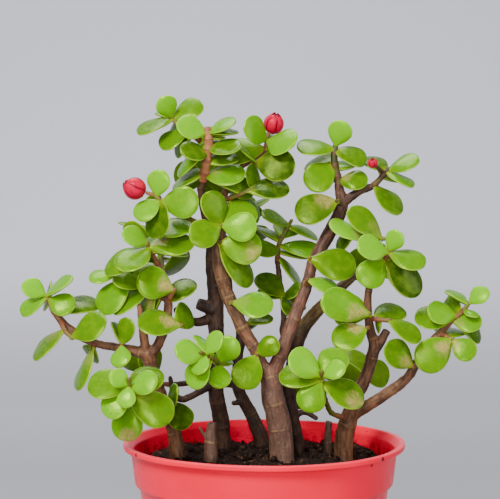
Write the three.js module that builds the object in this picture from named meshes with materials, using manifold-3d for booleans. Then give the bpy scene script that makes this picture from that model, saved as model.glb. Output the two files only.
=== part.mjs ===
// A dwarf jade bonsai (Portulacaria afra) in a plastic pot. Millimetres, +Z up.
// The origin is the centre of the pot's underside. +X is to the right and +Y away from the front.
// Stems, shoots and buds are set out on a front elevation: [x, z, y] is a point as it is seen from EYE on the
// plane through the pot's axis, with y its real depth behind that plane.
import * as THREE from "three";
import { mergeVertices } from "three/addons/utils/BufferGeometryUtils.js";
import Module from "manifold-3d";

const wasm = await Module();
wasm.setup();

// ---- Driving dimensions ----
const EYE = new THREE.Vector3(-5, -531.5, 179.4); // the point that the front elevation is drawn from
const GAP = 0.3; // clearance between pieces that touch
const SLIVER = 0.1; // where parts are fused, faces smaller than this are merged

const RIM_RADIUS = 50;
const POT_HEIGHT = 88;
const BASE_RADIUS = 34;
const STEP_RADIUS = 44.2; // the wall just under the step
const SHOULDER_RADIUS = 47.4; // the wall just under the lip
const SHOULDER_DRAFT = 1.5; // how far the shoulder narrows towards the step
const LIP_HEIGHT = 1.8;
const LIP_ROUND = 0.6;
const SHOULDER_HEIGHT = 13;
const WALL = 1.2;
const FLOOR = 1.6;
const DRAIN_HOLES = 6;
const DRAIN_RADIUS = 4;
const DRAIN_CIRCLE = 22; // radius of the circle that the drain holes lie on
const POT_SIDES = 32;

const SOIL_LEVEL = 80;
const SOIL_RIPPLE = 0.7;
const SOIL_MOUNDS = [
  // [x, y, height, radius]
  [34, 30, 3.4, 9],
  [-6, 12, 1.6, 15],
  [-30, 24, 1.4, 9],
  [10, 38, 1.8, 8],
];
const FOOT_LEVEL = 66; // how deep the stems stand in the soil

const LIMB_SIDES = 6;
const LIMB_STEP = 8; // length of one stretch of a stem
const TWIG_SIDES = 4;
const TWIG_STEP = 5.5;
const TWIG_RADII = [1, 0.7]; // at the foot and at the tip of a shoot that gives none of its own
const STALK_RADIUS = 0.7;
const TIP_SHARE = 0.93; // the share of a twig's length that its last leaves stand at

// A blade's outline as [along, half width], both as shares of its length
const OUTLINE = [
  [0, 0],
  [0.26, 0.27],
  [0.67, 0.4],
  [1, 0.18],
];
const BROADEST = 11.6; // no blade is wider, however long
const BLADE_MIDDLE = 0.56; // where the blade is thickest, along its length
const MIDDLE_THICKNESS = 1.05; // half the thickness in the middle
const EDGE_THICKNESS = 0.38; // half the thickness at the edge
const CURL = -0.09; // how far the tip bends back, as a share of the length
const CUP = 0.16; // how far the sides rise, per squared share of the length

const colour = (hex, roughness) =>
  new THREE.MeshStandardMaterial({ color: hex, roughness, metalness: 0 });
const RED_PLASTIC = colour("#e8434b", 0.35);
const SOIL_BROWN = colour("#2b201a", 0.95);
const PALE_BARK = colour("#a58778", 0.8);
const BROWN_BARK = colour("#784b3c", 0.8);
const DARK_BARK = colour("#4a3029", 0.85);
const LEAF_GREEN = colour("#7cb52e", 0.4);
const BUD_RED = colour("#dd2440", 0.35);

// ---- Stems: every limb is a list of [x, z, y, radius]; the first limb of a stem stands in the soil ----
const STEMS = {
  stem_left: [
    BROWN_BARK,
    [[-30.9, 82, 8, 2.9], [-32.3, 92, 8, 2.5], [-35.1, 99.5, 6, 2.3], [-38.7, 110, 3, 2.2],
     [-41.2, 119, 0, 2.6]],
    [[-41, 118.5, 0, 2.2], [-37.6, 122.5, 0, 1.8], [-34.3, 133, 0, 1.7], [-34.5, 141, 0, 1.5],
     [-37.6, 151, 0, 1.1]],
    [[-41, 119, 0, 2.2], [-52.9, 121.5, 0, 1.5], [-59, 122.5, 0, 1.4], [-68.9, 127.5, 0, 1.7],
     [-75, 134.5, 0, 1.1]],
    [[-41.5, 118, 0, 1.9], [-42.6, 124, -1, 1.7], [-43.6, 131, -2, 1.2], [-44.3, 136, -2, 0.8]],
  ],
  stub_cut: [
    PALE_BARK,
    [[-19, 81.5, 3, 2.7], [-18.9, 89, 3, 2.2], [-18.6, 94.5, 3, 1.6]],
    [[-20.3, 88.5, 3, 0.7], [-23, 92.5, 2, 0.5]],
  ],
  stem_dark: [
    DARK_BARK,
    [[-14.9, 88.5, 27, 3.2], [-15.4, 96, 25, 3.1], [-17.2, 106, 20, 2.9], [-17, 126, 15, 2.9],
     [-17.2, 138.5, 13, 2.8], [-18.4, 149, 10, 2.4], [-18.9, 160, 7, 1.9], [-22.3, 175.5, 2, 1.3],
     [-21.7, 181, 0, 1.1]],
    [[-18, 135, 13, 2.6], [-23.8, 137, 12, 2.1]],
    [[-17.5, 132, 14, 1.9], [-24.5, 130.5, 11, 1.6], [-31, 134.5, 8, 1.3]],
    [[-17.4, 108.5, 19, 1.5], [-23, 105.5, 15, 1.3], [-29.2, 102.7, 12, 1.1], [-32, 104.5, 11, 1.4],
     [-33.4, 110.5, 10, 0.8]],
  ],
  stem_slanting: [
    DARK_BARK,
    [[-0.7, 87, 33, 3.1], [-4.6, 97.5, 30, 2.4], [-9, 106, 27, 2.3], [-9.5, 115, 26, 2], [-8.5, 127, 27, 1.8],
     [-12, 139, 31, 1.6], [-13, 152, 36, 1.2]],
    [[-7.5, 102, 28, 1.3], [-10.8, 101.5, 24, 1]],
    [[-9.3, 108, 27, 1.6], [-22, 109, 38, 1.2], [-33, 108, 40, 1]],
  ],
  trunk: [
    PALE_BARK,
    [[6.4, 83, 3, 4.4], [5.4, 94, 2, 4.3], [3, 104.5, 0, 4], [2.2, 112, 0, 3.4]],
    [[1.8, 109.5, 0, 2.9], [-1.4, 116, 0, 2.5], [-3.3, 121, 0, 2.3], [-6.7, 126.5, 0, 2.3],
     [-10, 133.5, 0, 2.4], [-13.6, 142, 0, 2.5], [-16.2, 154, -1, 2.5], [-14.9, 166, 1, 1.9],
     [-14.2, 175.5, 6, 1.4], [-8.5, 185.2, 9, 1.1], [-2.1, 188.8, 10, 1]],
    [[2.4, 110.5, 0, 2.8], [6.7, 120.7, 0, 2.4], [9.2, 128, 1, 2.4], [14.6, 142, 3, 2.1], [17.6, 152, 5, 2.1],
     [22.3, 160.5, 6, 2.5], [27.3, 171, 8, 2.4], [26.3, 179.3, 8, 1.6]],
    [[28, 173, 8, 1.8], [33.5, 176.6, 8, 1.5], [38.6, 178.6, 8, 1.2]],
  ],
  stem_middle: [
    DARK_BARK,
    [[12.2, 85, 17, 2.3], [10.4, 94, 16, 2.7], [8.8, 103, 15, 2.7], [9.4, 110, 14, 2.6], [12.8, 126, 13, 2.6],
     [16.3, 131.5, 12, 2.5], [24, 139.5, 11, 2.1], [33, 148, 18, 1.6], [38, 152, 27, 1.2]],
    [[10.5, 117, 14, 1.6], [6.6, 127, 17, 1.2], [7, 132, 18, 1.1], [4.7, 152, 23, 1]],
    [[11, 97, 16, 1.3], [14.6, 98.2, 15, 1.1], [18.6, 96, 14, 0.9]],
    [[10.5, 113, 14, 1.7], [15, 113, 25, 1.3], [18, 112, 34, 1]],
  ],
  stem_right: [
    BROWN_BARK,
    [[28.4, 82, 8, 3.5], [28.6, 89, 8, 3.5], [31, 98, 7, 3.1], [33, 104.5, 6, 2.5], [36.2, 110.7, 5, 2.3],
     [39, 122.4, 3, 2], [37.6, 128, 2, 1.7], [36.9, 139, 0, 1.4], [38.3, 147, -2, 1.2], [41.9, 152, -4, 1]],
    [[39, 119, 3, 1.7], [41, 122.5, 3, 1.6], [43.7, 127.5, 2, 1.6]],
    [[31, 97, 7, 2.4], [39.4, 102, 6, 2.1], [51, 110.5, 4, 1.8], [54, 115.3, 4, 1.7], [58.9, 122.4, 3, 1.5],
     [66, 130.2, 2, 1.1]],
    [[36.5, 111.5, 5, 1.7], [36.6, 112, 22, 1.3], [36.3, 113, 34, 1]],
  ],
  stump_dark: [
    DARK_BARK,
    [[23, 85, 20, 1.5], [22.8, 90, 20, 1.4], [23.2, 95, 20, 1.2]],
  ],
};

// ---- Shoots ----
// twig: the shoot's centre line, from the middle of the limb that carries it.
// radii: the twig's radius at its foot and at its tip.
// leaves: [share of the twig, reach right, reach up, reach forward, turn], where the reach is the way from
// the leaf's foot to its tip and the turn, in degrees, is how far the blade is turned about its midrib away
// from the front.
// behind: the number of leaves on the far side, placed by rule.
// pairs: the number of opposite pairs that a shoot at the back bears, each a quarter turn from the one below.
// stalk: the stalk of a bud, as [share of the twig, bud].
const SHOOTS = {
  shoot_top_left: {
    twig: [[-22.5, 194.5, 0], [-27, 198, 2], [-30.5, 200.4, 3], [-33.2, 203.5, 3]],
    leaves: [
      [1, -2.6, 7, 5.5, 8], [0.95, 9.8, 6.4, 0, 38], [0.95, -13, -3.8, 2, 64], [0.97, -6, 1.5, -8, 70],
      [0.45, -10, -5, 2, 46], [0.3, -7, -6.5, -6, 50],
    ],
    stalk: [0.5, "bud_top_left"],
    behind: 1,
  },
  shoot_top: {
    twig: [[-21.7, 180.5, 0], [-20.5, 186.5, -3], [-19.6, 193, -4], [-20, 198.5, -4]],
    radii: [1.6, 1.4],
    leaves: [
      [1, -10.5, 3.8, 4, 34], [1, 9.5, 5.5, 2, 62], [1, 10.5, 1.8, -4, 70], [1, 2, 1, -12, 40],
      [0.6, -9, 1.5, 6, 44], [0.82, -15.3, -9.5, -2, 60], [0.7, 11, 1, 6, 56], [0.12, 14.5, 1.2, 3, 50],
      [0.15, -13, 0, -6, 52], [0.4, 11.5, 2, -4, 60],
    ],
    behind: 1,
  },
  shoot_left_high: {
    twig: [[-18.9, 160, 7], [-23, 165, 0], [-33.4, 171, -6], [-39.6, 176, -8]],
    leaves: [
      [1, 1.3, 9.6, 3, 16], [0.95, -9.2, -5.2, 3, 36], [0.93, 13, -0.5, 4, 5], [0.95, -1.6, -13.2, 4, 40],
      [0.3, -15, -1, 3, 58], [0.6, 3, 9, -8, 30],
    ],
    stalk: [0.97, "bud_left"],
    behind: 1,
  },
  shoot_left_middle: {
    twig: [[-37.4, 150, 0], [-39.8, 155, -3], [-41.5, 158.5, -5]],
    leaves: [
      [1, -8.2, 5.2, 4, 42], [0.8, -17, -7.2, -1, 52], [0.85, -9.6, -9.2, 7, 40], [0.9, 14.5, 3, 6, 50],
      [0.7, 13, 0, -3, 74],
    ],
    behind: 1,
  },
  shoot_left_stem: {
    twig: [[-34.2, 137, 0], [-33, 140, -3], [-31.8, 142, -5]],
    leaves: [[1, -12.3, 5, 4, 12], [0.1, 8.6, 8.6, -3, 45]],
    behind: 0,
  },
  shoot_left_spur: {
    twig: [[-34.8, 130.5, 0], [-31, 129, -4], [-29, 129.3, -5]],
    leaves: [[1, -15, 2.2, 4, 45]],
    behind: 1,
  },
  shoot_left_low: {
    twig: [[-34.4, 138, 0], [-40.5, 142, 1], [-47.5, 145.6, 3], [-53.5, 148.4, 5]],
    leaves: [
      [1, -9.9, -1.2, 2, 58], [0.76, -10.2, -11.2, 4, 36], [0.36, -13.3, -5.5, 6, 56],
      [0.25, -10.6, -7.4, 1, 50],
      [0.68, 7, 6.4, -3, 44], [0.12, -7, -4, -4, 50], [0.5, -10.5, 2, 3, 50],
    ],
    behind: 2,
  },
  shoot_left_branch: {
    twig: [[-50.5, 121.2, 0], [-50.5, 122.5, -4]],
    leaves: [[1, 2, 9.5, 2, 36], [0.9, -2.5, 8, -5, 70], [0.9, -0.5, -7, 6, 20]],
    behind: 1,
  },
  shoot_left_hanging: {
    twig: [[-60, 122.9, 0], [-61, 120.5, -3]],
    leaves: [[1, -6.7, -14, 2, 66]],
    behind: 1,
  },
  shoot_far_left: {
    twig: [[-74.7, 134, 0], [-76.5, 138, 0], [-77.5, 140, 0]],
    leaves: [
      [1, -8, 5, 2, 35], [1, 9, 7.5, 2, 68], [0.9, -9.5, -5, 2, 54], [0.8, 9.5, -2.5, 4, 25],
      [0.2, 17, 4.6, -4, 56],
    ],
    behind: 1,
  },
  shoot_far_left_low: {
    twig: [[-72, 131, 0], [-71, 127.5, -4], [-68, 124.5, -6]],
    leaves: [[1, 12, 7.5, 3, 42], [0.55, -11.5, -9.5, 2, 66], [0.9, 4, -2, -9, 50]],
    behind: 0,
  },
  shoot_front_left: {
    twig: [[-38, 104, 5], [-42, 101, -8], [-46.5, 101.5, -22], [-48, 106, -30], [-48.2, 110, -33]],
    leaves: [
      [1, -6, 5, 3, 26], [1, -1.2, -7, 4, 15], [0.96, 9.8, 4.6, 3, 34], [0.95, -15, 3.4, -3, 36],
      [0.9, -9, -7, 3, 25], [0.9, 15.2, -8.4, 3, 20], [0.85, 12, 8, -5, 40], [0.58, -6.5, -12, 2, 15],
    ],
    behind: 1,
  },
  shoot_low_left: {
    twig: [[-35.2, 100, 6], [-34, 101.5, 1]],
    leaves: [[1, 7.5, -7.5, 4, 20], [0.9, 3, 6, 8, 60]],
    behind: 0,
  },
  shoot_front_middle: {
    twig: [[-17, 113, 17], [-16.5, 114.5, 0], [-17, 116.5, -14], [-22.5, 119.5, -22]],
    leaves: [
      [1, -10.5, 3, 4, 36], [1, 5, 8.5, 2, 48], [1, -3, -6, 5, 40], [0.95, -6.7, -10.6, 2, 38],
      [0.9, -10.5, -4.5, -3, 46], [0.9, -5, 8, -7, 70], [0.7, 5, 9, 4, 10], [0.66, 1, -7.5, 6, 10],
    ],
    behind: 1,
  },
  shoot_middle: {
    twig: [[-14.9, 163.5, 1], [-15.3, 164.8, -7]],
    leaves: [
      [1, -10.2, -4.8, 6, 12], [1, 12.3, -0.5, 4, 12], [0.9, -5.3, 11.5, 3, 34], [0.85, 10.5, 9.8, 1, 26],
    ],
    behind: 0,
  },
  shoot_middle_high: {
    twig: [[-14.2, 174, 5.5], [-12, 174.5, 0], [-8, 176, -2], [-5, 177.4, -2]],
    leaves: [[1, 14.8, 2.4, -3, 50], [0.35, 12, -6, -6, 44], [0.8, -6, 9, -3, 60]],
    behind: 1,
  },
  shoot_middle_low: {
    twig: [[-16.2, 157, -0.5], [-15.5, 158.8, -6]],
    leaves: [[1, 14.5, -2.6, 2, 14], [0.8, 12, -14.5, -1, 50], [0.4, -4, -8, -8, 60]],
    behind: 1,
  },
  shoot_top_middle_low: {
    twig: [[-5.5, 187.2, 9.5], [-2.8, 187, 4]],
    leaves: [[1, 12.5, -6.8, 3, 14], [0.6, 2, -9, 5, 55], [1, -10, 1, 4, 66]],
    behind: 1,
  },
  shoot_top_middle: {
    twig: [[-2.6, 188.6, 10], [0.3, 192, 8], [1, 196.5, 7]],
    leaves: [
      [0.9, -8.4, 8, 5, 34], [0.85, 10.6, 2.6, 9, 46], [0.55, -16, -1.5, 1, 36], [0.9, -3, 4, -11, 40],
    ],
    stalk: [0.97, "bud_top_middle"],
    behind: 1,
  },
  shoot_right_top: {
    twig: [[26.5, 179, 8], [24.9, 187, 8], [24.9, 191, 8], [25.4, 193.5, 8]],
    radii: [1.5, 1],
    leaves: [
      [1, 2.3, 8.6, 5.5, 5], [0.95, -13.3, 1.6, 2, 56], [0.9, 11.2, -3.4, 2, 46], [0.5, -10, -7, 4, 8],
      [0.6, -12.5, 1.2, -5, 50], [0.12, 10.2, 0.5, 3, 38], [0.4, 6, 3, -6, 50],
    ],
    behind: 1,
  },
  shoot_right_high: {
    twig: [[28, 172, 8], [25.6, 173.2, 2]],
    leaves: [[1, -14.7, -4.4, 2, 28]],
    behind: 1,
  },
  shoot_right_crown: {
    twig: [[38.2, 178.3, 8], [40.5, 180.6, 7], [43, 183.6, 7], [44.2, 184.6, 7]],
    radii: [1.2, 0.9],
    leaves: [
      [1, 10.4, 5, 3, 57], [0.9, 10, -4.2, 3, 68], [0.95, -5.6, 6.8, -7, 40], [0.12, 9.6, -9.4, 4, 52],
      [0.2, -8, -3, -7, 74],
    ],
    stalk: [0.75, "bud_right"],
    behind: 1,
  },
  shoot_back_middle: {
    twig: [[4.7, 151.5, 23], [5.3, 158, 25], [8.6, 164.5, 26], [9.7, 166.5, 26]],
    leaves: [
      [0.95, -9, 4.5, 6, 66], [0.9, 11, -3, -5, 70], [0.4, 15.5, -1, 4, 60], [0.25, 10, -1, -8, 78],
      [0.5, -8, 6, -6, 72], [0.35, -8, 0, 8, 50], [0.15, 9.5, -10.5, -2, 74],
    ],
    behind: 1,
  },
  shoot_back_middle_low: {
    twig: [[6.5, 139, 20], [7.3, 139.5, 14]],
    leaves: [
      [1, 5, 4, 6, 62], [0.8, 8, -2, -8, 50], [1, 2, -6, 7, 56], [0.8, -8, 1.6, -6, 56],
      [0.9, -9.5, 8, -2, 44],
    ],
    behind: 1,
  },
  shoot_fork_high: {
    twig: [[-11.6, 137, 0], [-11.4, 137.4, -5]],
    leaves: [[1, 14.5, -0.5, 3, 44]],
    behind: 0,
  },
  shoot_fork_middle: {
    twig: [[-8, 129, 0], [-6, 129.8, 4]],
    leaves: [[1, 9, 3, -3, 60]],
    behind: 1,
  },
  shoot_fork: {
    twig: [[-3, 120, 0], [-2.5, 118.5, -5.5]],
    leaves: [[1, -6, -11, 4, 0], [0.8, 7.5, 5, 2, 20]],
    behind: 1,
  },
  shoot_right_upper: {
    twig: [[24.5, 163.5, 7], [32, 161, 3], [38, 160.2, 0], [43, 160, -2]],
    leaves: [[1, -11.2, 11, 2, 46], [0.76, -13.8, 6, 4, 62], [0.42, -6, -5, -5, 50]],
    behind: 1,
  },
  shoot_right_branch: {
    twig: [[17.6, 152.5, 5], [16.3, 153, -1]],
    leaves: [[1, 16, -3, 2, 22]],
    behind: 0,
  },
  shoot_right_branch_low: {
    twig: [[15, 143, 3], [15.3, 145.5, -2]],
    leaves: [[1, 11.5, -3.6, 0, 58]],
    behind: 0,
  },
  shoot_right: {
    twig: [[41.5, 151.5, -4], [43.7, 154, -7], [44.5, 156, -8]],
    leaves: [
      [1, 3, 7, 4, 20], [0.9, -11, 3.5, 5, 38], [0.9, 13, -3, 3, 50], [0.3, 14, -11.5, -1, 32],
      [0.4, -8.5, -8.5, 4, 8],
    ],
    behind: 2,
  },
  shoot_right_middle: {
    twig: [[37.4, 132.5, 1], [37.4, 133.2, -3.5]],
    leaves: [[1, -16.6, 6.2, 7, 20]],
    behind: 1,
  },
  shoot_right_side: {
    twig: [[37.2, 132, 1], [41, 131.2, -2], [45, 131, -3]],
    leaves: [[0.3, 11, 4, -6, 48], [1, 12, -5, 3, 58]],
    behind: 1,
  },
  shoot_right_stem: {
    twig: [[37.5, 128.5, 2], [36.5, 128.2, -4]],
    leaves: [[1, -12, -5, 4, 34]],
    behind: 0,
  },
  shoot_right_fork: {
    twig: [[54, 115, 4], [53, 114.3, -2]],
    leaves: [[1, -9.5, 8.5, 3, 30]],
    behind: 0,
  },
  shoot_far_right: {
    twig: [[65.5, 129.7, 2], [69.5, 133.2, 1], [72, 136, 0], [73, 137.5, 0]],
    leaves: [
      [1, 6.5, 5.5, 2, 40], [0.97, -7, 5.5, -4, 68], [0.4, -10.5, 3, 3, 34], [0.15, 10, 0, 4, 36],
      [0.7, 4.5, -3, 3, 60], [0.3, 11, -6.5, -6, 50],
      [0.05, -12, 3.4, -1, 40],
    ],
    behind: 1,
  },
  shoot_right_low: {
    twig: [[62.5, 126.3, 3], [67.3, 124, -2]],
    leaves: [[0.96, -14.2, -6, 3, 6], [1, 6.7, -5.8, 5, 12], [0.4, -12, 5, -1, 50]],
    behind: 1,
  },
  shoot_front_right: {
    twig: [
      [29.5, 96, 7], [24.5, 97.6, 2], [22.4, 101, -6], [20.9, 106.5, -14], [20.4, 111.5, -20],
      [20.5, 113, -21],
    ],
    leaves: [
      [1, -10.5, 9, 2, 34], [0.95, -15, 2.5, -3, 50], [1, 8, 4.5, 3, 44], [0.96, 8, 10.5, -2, 25],
      [0.93, -9, -8, 3, 8], [0.88, 15, -6, 2, 42], [0.88, 10, 0, -5, 60],
    ],
    behind: 0,
  },
  shoot_back_crown: {
    twig: [[-21.7, 179, 0.5], [-21, 181, 12], [-19, 184, 22], [-17, 188, 27]],
    pairs: 4,
  },
  shoot_back_left: {
    twig: [[-34.6, 141.5, 0], [-36, 150, 14], [-39, 161, 27], [-41, 165, 29]],
    pairs: 4,
  },
  shoot_back_middle_high: {
    twig: [[-13, 151.5, 36], [-11, 160, 41], [-8, 170, 42]],
    pairs: 4,
  },
  shoot_back_right: {
    twig: [[38, 151.5, 27], [38.5, 151, 36], [36, 152, 43]],
    pairs: 4,
  },
  shoot_back_left_low: {
    twig: [[-32.5, 108, 40], [-39, 109, 43], [-41, 114, 46]],
    pairs: 3,
  },
  shoot_back_right_low: {
    twig: [[36.2, 112.8, 33], [34.5, 112, 41], [32, 113, 47]],
    pairs: 3,
  },
  shoot_back_fork: {
    twig: [[17.8, 112, 33.5], [16, 109.5, 40], [13.5, 109, 46]],
    pairs: 3,
  },
};

// ---- Buds: [middle, diameter, reach of the tip] ----
const BUDS = {
  bud_top_left: [[-26.8, 204.3, 9], 5, [6, 3.5, 1]],
  bud_left: [[-45.8, 177.8, -8], 8, [-6, 3.5, 1]],
  bud_top_middle: [[3.4, 200.6, 9], 7.4, [1.5, 6, 2]],
  bud_right: [[38.4, 186.8, 1.6], 3.6, [-1, 4, 3]],
};
const BUD_SIDES = 10;
const BUD_RINGS = 5;
const PETALS = 5;
const PETAL_RELIEF = 0.07;
const CROWN_TIPS = 5;

// ---- Solids ----
// A geometry as a manifold-3d solid, with its shared corners merged.
function solid(geometry) {
  const positions = new THREE.BufferGeometry().setAttribute("position", geometry.getAttribute("position"));
  positions.setIndex(geometry.index);
  const merged = mergeVertices(positions, 1e-4);
  return new wasm.Manifold(
    new wasm.Mesh({
      numProp: 3,
      vertProperties: merged.getAttribute("position").array,
      triVerts: new Uint32Array(merged.index.array),
    }),
  );
}

const join = (solids) => solids.reduce((whole, next) => whole.add(next));

const larger = (one, other) => (other.volume() > one.volume() ? other : one);

const largest = (whole) => whole.decompose().reduce(larger);

// A solid as a named mesh with flat faces.
function piece(name, whole, material) {
  const mesh = whole.getMesh();
  const geometry = new THREE.BufferGeometry()
    .setAttribute("position", new THREE.BufferAttribute(new Float32Array(mesh.vertProperties), 3))
    .setIndex(new THREE.BufferAttribute(new Uint32Array(mesh.triVerts), 1));
  const made = new THREE.Mesh(geometry, material);
  made.name = name;
  return made;
}

// How much larger things are drawn for every mm of real depth y behind the elevation's plane.
const spread = (y) => 1 - y / EYE.y;

// The real place of a point of the elevation.
function place([x, z, y]) {
  const s = spread(y);
  return new THREE.Vector3(EYE.x + (x - EYE.x) * s, y, EYE.z + (z - EYE.z) * s);
}

// A round limb: a closed cylinder bent along a smooth line, its radius passing through the given ones.
function limb(points, radii, sides, step, grown = 0) {
  const line = new THREE.CatmullRomCurve3(points);
  const steps = Math.max(2, Math.round(line.getLength() / step));
  const frames = line.computeFrenetFrames(steps);
  const geometry = new THREE.CylinderGeometry(1, 1, 1, sides, steps);
  const position = geometry.getAttribute("position");
  for (let i = 0; i < position.count; i++) {
    const ring = Math.round((0.5 - position.getY(i)) * steps);
    const share = ring / steps;
    const end = ring === 0 ? -1 : ring === steps ? 1 : 0;
    const radius = radiusAt(line, radii, share) + grown;
    const corner = line
      .getPointAt(share)
      .addScaledVector(frames.tangents[ring], end * grown)
      .addScaledVector(frames.normals[ring], position.getX(i) * radius)
      .addScaledVector(frames.binormals[ring], position.getZ(i) * radius);
    position.setXYZ(i, corner.x, corner.y, corner.z);
  }
  return solid(geometry);
}

function radiusAt(line, radii, share) {
  const along = line.getUtoTmapping(share) * (radii.length - 1);
  const from = Math.min(Math.floor(along), radii.length - 2);
  return THREE.MathUtils.lerp(radii[from], radii[from + 1], along - from);
}

// ---- Pot ----
function pot() {
  const top = POT_HEIGHT;
  const underLip = top - LIP_HEIGHT;
  const step = underLip - SHOULDER_HEIGHT;
  const stepOut = SHOULDER_RADIUS - SHOULDER_DRAFT;
  const profile = [
    [0, 0],
    [BASE_RADIUS - 1, 0],
    [BASE_RADIUS, 1],
    [STEP_RADIUS, step - 1],
    [stepOut, step + 0.5],
    [SHOULDER_RADIUS, underLip],
    [RIM_RADIUS, underLip],
    [RIM_RADIUS, top - LIP_ROUND],
    [RIM_RADIUS - LIP_ROUND, top],
    [SHOULDER_RADIUS - WALL, top],
    [stepOut - WALL, step + 0.5],
    [STEP_RADIUS - WALL, step - 1],
    [BASE_RADIUS - WALL, FLOOR],
    [0, FLOOR],
  ];
  const outline = profile.map(([r, z]) => new THREE.Vector2(r, z));
  const shell = solid(new THREE.LatheGeometry(outline, POT_SIDES).rotateX(Math.PI / 2));
  const holes = Array.from({ length: DRAIN_HOLES }, (_, i) => {
    const angle = (2 * Math.PI * i) / DRAIN_HOLES;
    const hole = new THREE.CylinderGeometry(DRAIN_RADIUS, DRAIN_RADIUS, 4 * FLOOR, 12).rotateX(Math.PI / 2);
    return solid(hole.translate(DRAIN_CIRCLE * Math.cos(angle), DRAIN_CIRCLE * Math.sin(angle), 0));
  });
  return shell.subtract(join(holes));
}

// ---- Soil ----
function soilHeight(x, y) {
  const ripple = Math.sin(x * 0.31 + 1) * Math.cos(y * 0.27) + Math.sin(x * 0.13 - y * 0.21);
  const mounds = SOIL_MOUNDS.map(
    ([mx, my, height, radius]) => height * Math.exp(-((x - mx) ** 2 + (y - my) ** 2) / radius ** 2),
  );
  return SOIL_LEVEL + SOIL_RIPPLE * ripple + mounds.reduce((sum, height) => sum + height, 0);
}

function soil() {
  const floor = FLOOR + GAP;
  const step = POT_HEIGHT - LIP_HEIGHT - SHOULDER_HEIGHT;
  const inside = WALL + GAP;
  const edge = SHOULDER_RADIUS - SHOULDER_DRAFT - inside;
  const rings = [0.75, 0.5, 0.25, 0];
  const profile = [
    [0, floor],
    [BASE_RADIUS - inside, floor],
    [STEP_RADIUS - inside, step - 1],
    [edge, step + 0.5],
    [edge, SOIL_LEVEL],
    ...rings.map((share) => [edge * share, SOIL_LEVEL]),
  ];
  const outline = profile.map(([r, z]) => new THREE.Vector2(r, z));
  const body = new THREE.LatheGeometry(outline, POT_SIDES).rotateX(Math.PI / 2);
  const position = body.getAttribute("position");
  for (let i = 0; i < position.count; i++)
    if (position.getZ(i) > SOIL_LEVEL - 0.01)
      position.setZ(i, soilHeight(position.getX(i), position.getY(i)));
  return solid(body);
}

// ---- Stems ----
function stemLimbs(limbs, grown = 0) {
  return limbs.map((points, i) => {
    const line = points.map(place);
    const radii = points.map((point) => point[3]);
    if (i === 0) {
      line.unshift(new THREE.Vector3(line[0].x, line[0].y, FOOT_LEVEL));
      radii.unshift(radii[0]);
    }
    return limb(line, radii, LIMB_SIDES, LIMB_STEP, grown);
  });
}

// ---- Leaves ----
let seed = 20417;
function draw(low, high) {
  seed = (seed * 1664525 + 1013904223) % 4294967296;
  return low + ((high - low) * seed) / 4294967296;
}

// A leaf as its foot, its length and three directions: along the midrib, across it, and out of its upper
// face, which a turn leans back towards the sky.
function leafFrom(foot, reach, turn) {
  const length = reach.length();
  const along = reach.clone().normalize();
  const front = new THREE.Vector3(0, -1, 0.02);
  front.addScaledVector(along, -front.dot(along)).normalize();
  const side = new THREE.Vector3().crossVectors(along, front);
  if (side.z < 0) side.negate();
  const angle = THREE.MathUtils.degToRad(turn);
  const up = front.multiplyScalar(Math.cos(angle)).addScaledVector(side, Math.sin(angle));
  return { foot, length, along, up, across: new THREE.Vector3().crossVectors(up, along) };
}

// How much narrower a long blade is than the outline.
const slimness = (length) => Math.min(1, BROADEST / (2 * OUTLINE[2][1] * length));

// Half a blade's width at a share of its length, as a share of its length.
function halfWidth(share, length) {
  for (let i = 1; i < OUTLINE.length; i++) {
    const [end, wide] = OUTLINE[i];
    const [start, narrow] = OUTLINE[i - 1];
    const part = Math.max(0, (share - start) / (end - start));
    if (share <= end) return THREE.MathUtils.lerp(narrow, wide, part) * slimness(length);
  }
  return 0;
}

// How far the blade's middle surface lies off its flat plane, with a and c as shares of the length.
const sag = (a, c) => CURL * a * a + CUP * c * c;

function pointOn(leaf, a, c, off) {
  return leaf.foot
    .clone()
    .addScaledVector(leaf.along, a * leaf.length)
    .addScaledVector(leaf.across, c * leaf.length)
    .addScaledVector(leaf.up, sag(a, c) * leaf.length + off);
}

// A blade: a sphere of two rings, flattened onto the outline and drawn to a point at the foot.
function blade(leaf) {
  const corners = [...OUTLINE, ...OUTLINE.slice(1).reverse()];
  const geometry = new THREE.SphereGeometry(1, corners.length, 3);
  const position = geometry.getAttribute("position");
  for (let i = 0; i < position.count; i++) {
    const [x, y, z] = [position.getX(i), position.getY(i), position.getZ(i)];
    const pole = Math.abs(y) > 0.9;
    const turns = Math.atan2(z, -x) / (2 * Math.PI);
    const corner = Math.round(turns * corners.length + corners.length) % corners.length;
    const side = corner < OUTLINE.length ? -1 : 1;
    const thickness = pole ? MIDDLE_THICKNESS : corner === 0 ? 0 : EDGE_THICKNESS;
    const [a, c] = pole ? [BLADE_MIDDLE, 0] : [corners[corner][0], side * corners[corner][1]];
    const point = pointOn(leaf, a, c * slimness(leaf.length), Math.sign(y) * thickness);
    position.setXYZ(i, point.x, point.y, point.z);
  }
  return solid(geometry);
}

// ---- Keeping leaves clear of each other and of the wood ----
const PROBES_ALONG = [0.3, 0.44, 0.58, 0.72, 0.86, 0.98];
const PROBES_ACROSS = [-1, -0.66, -0.33, 0, 0.33, 0.66, 1];
const CLEARANCE = 0.35;
const FREE_FOOT = 5.5; // a leaf may touch its own twig and the leaves beside it this close to its foot
const TRIES = 40; // turns tried at each size
const TRIES_A_RING = 8;
const TRY_ANGLE = 0.13; // tangent of the angle between two rings of tries
const SIZES = [1, 0.86, 0.72];

const halfThickness = (share) =>
  THREE.MathUtils.lerp(MIDDLE_THICKNESS, EDGE_THICKNESS, Math.min(1, Math.abs(share)));

const probes = (leaf) =>
  PROBES_ALONG.flatMap((a) =>
    PROBES_ACROSS.map((share) => {
      const aside = share * halfWidth(a, leaf.length);
      return [pointOn(leaf, a, aside, 0), halfThickness(share)];
    }),
  );

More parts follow.
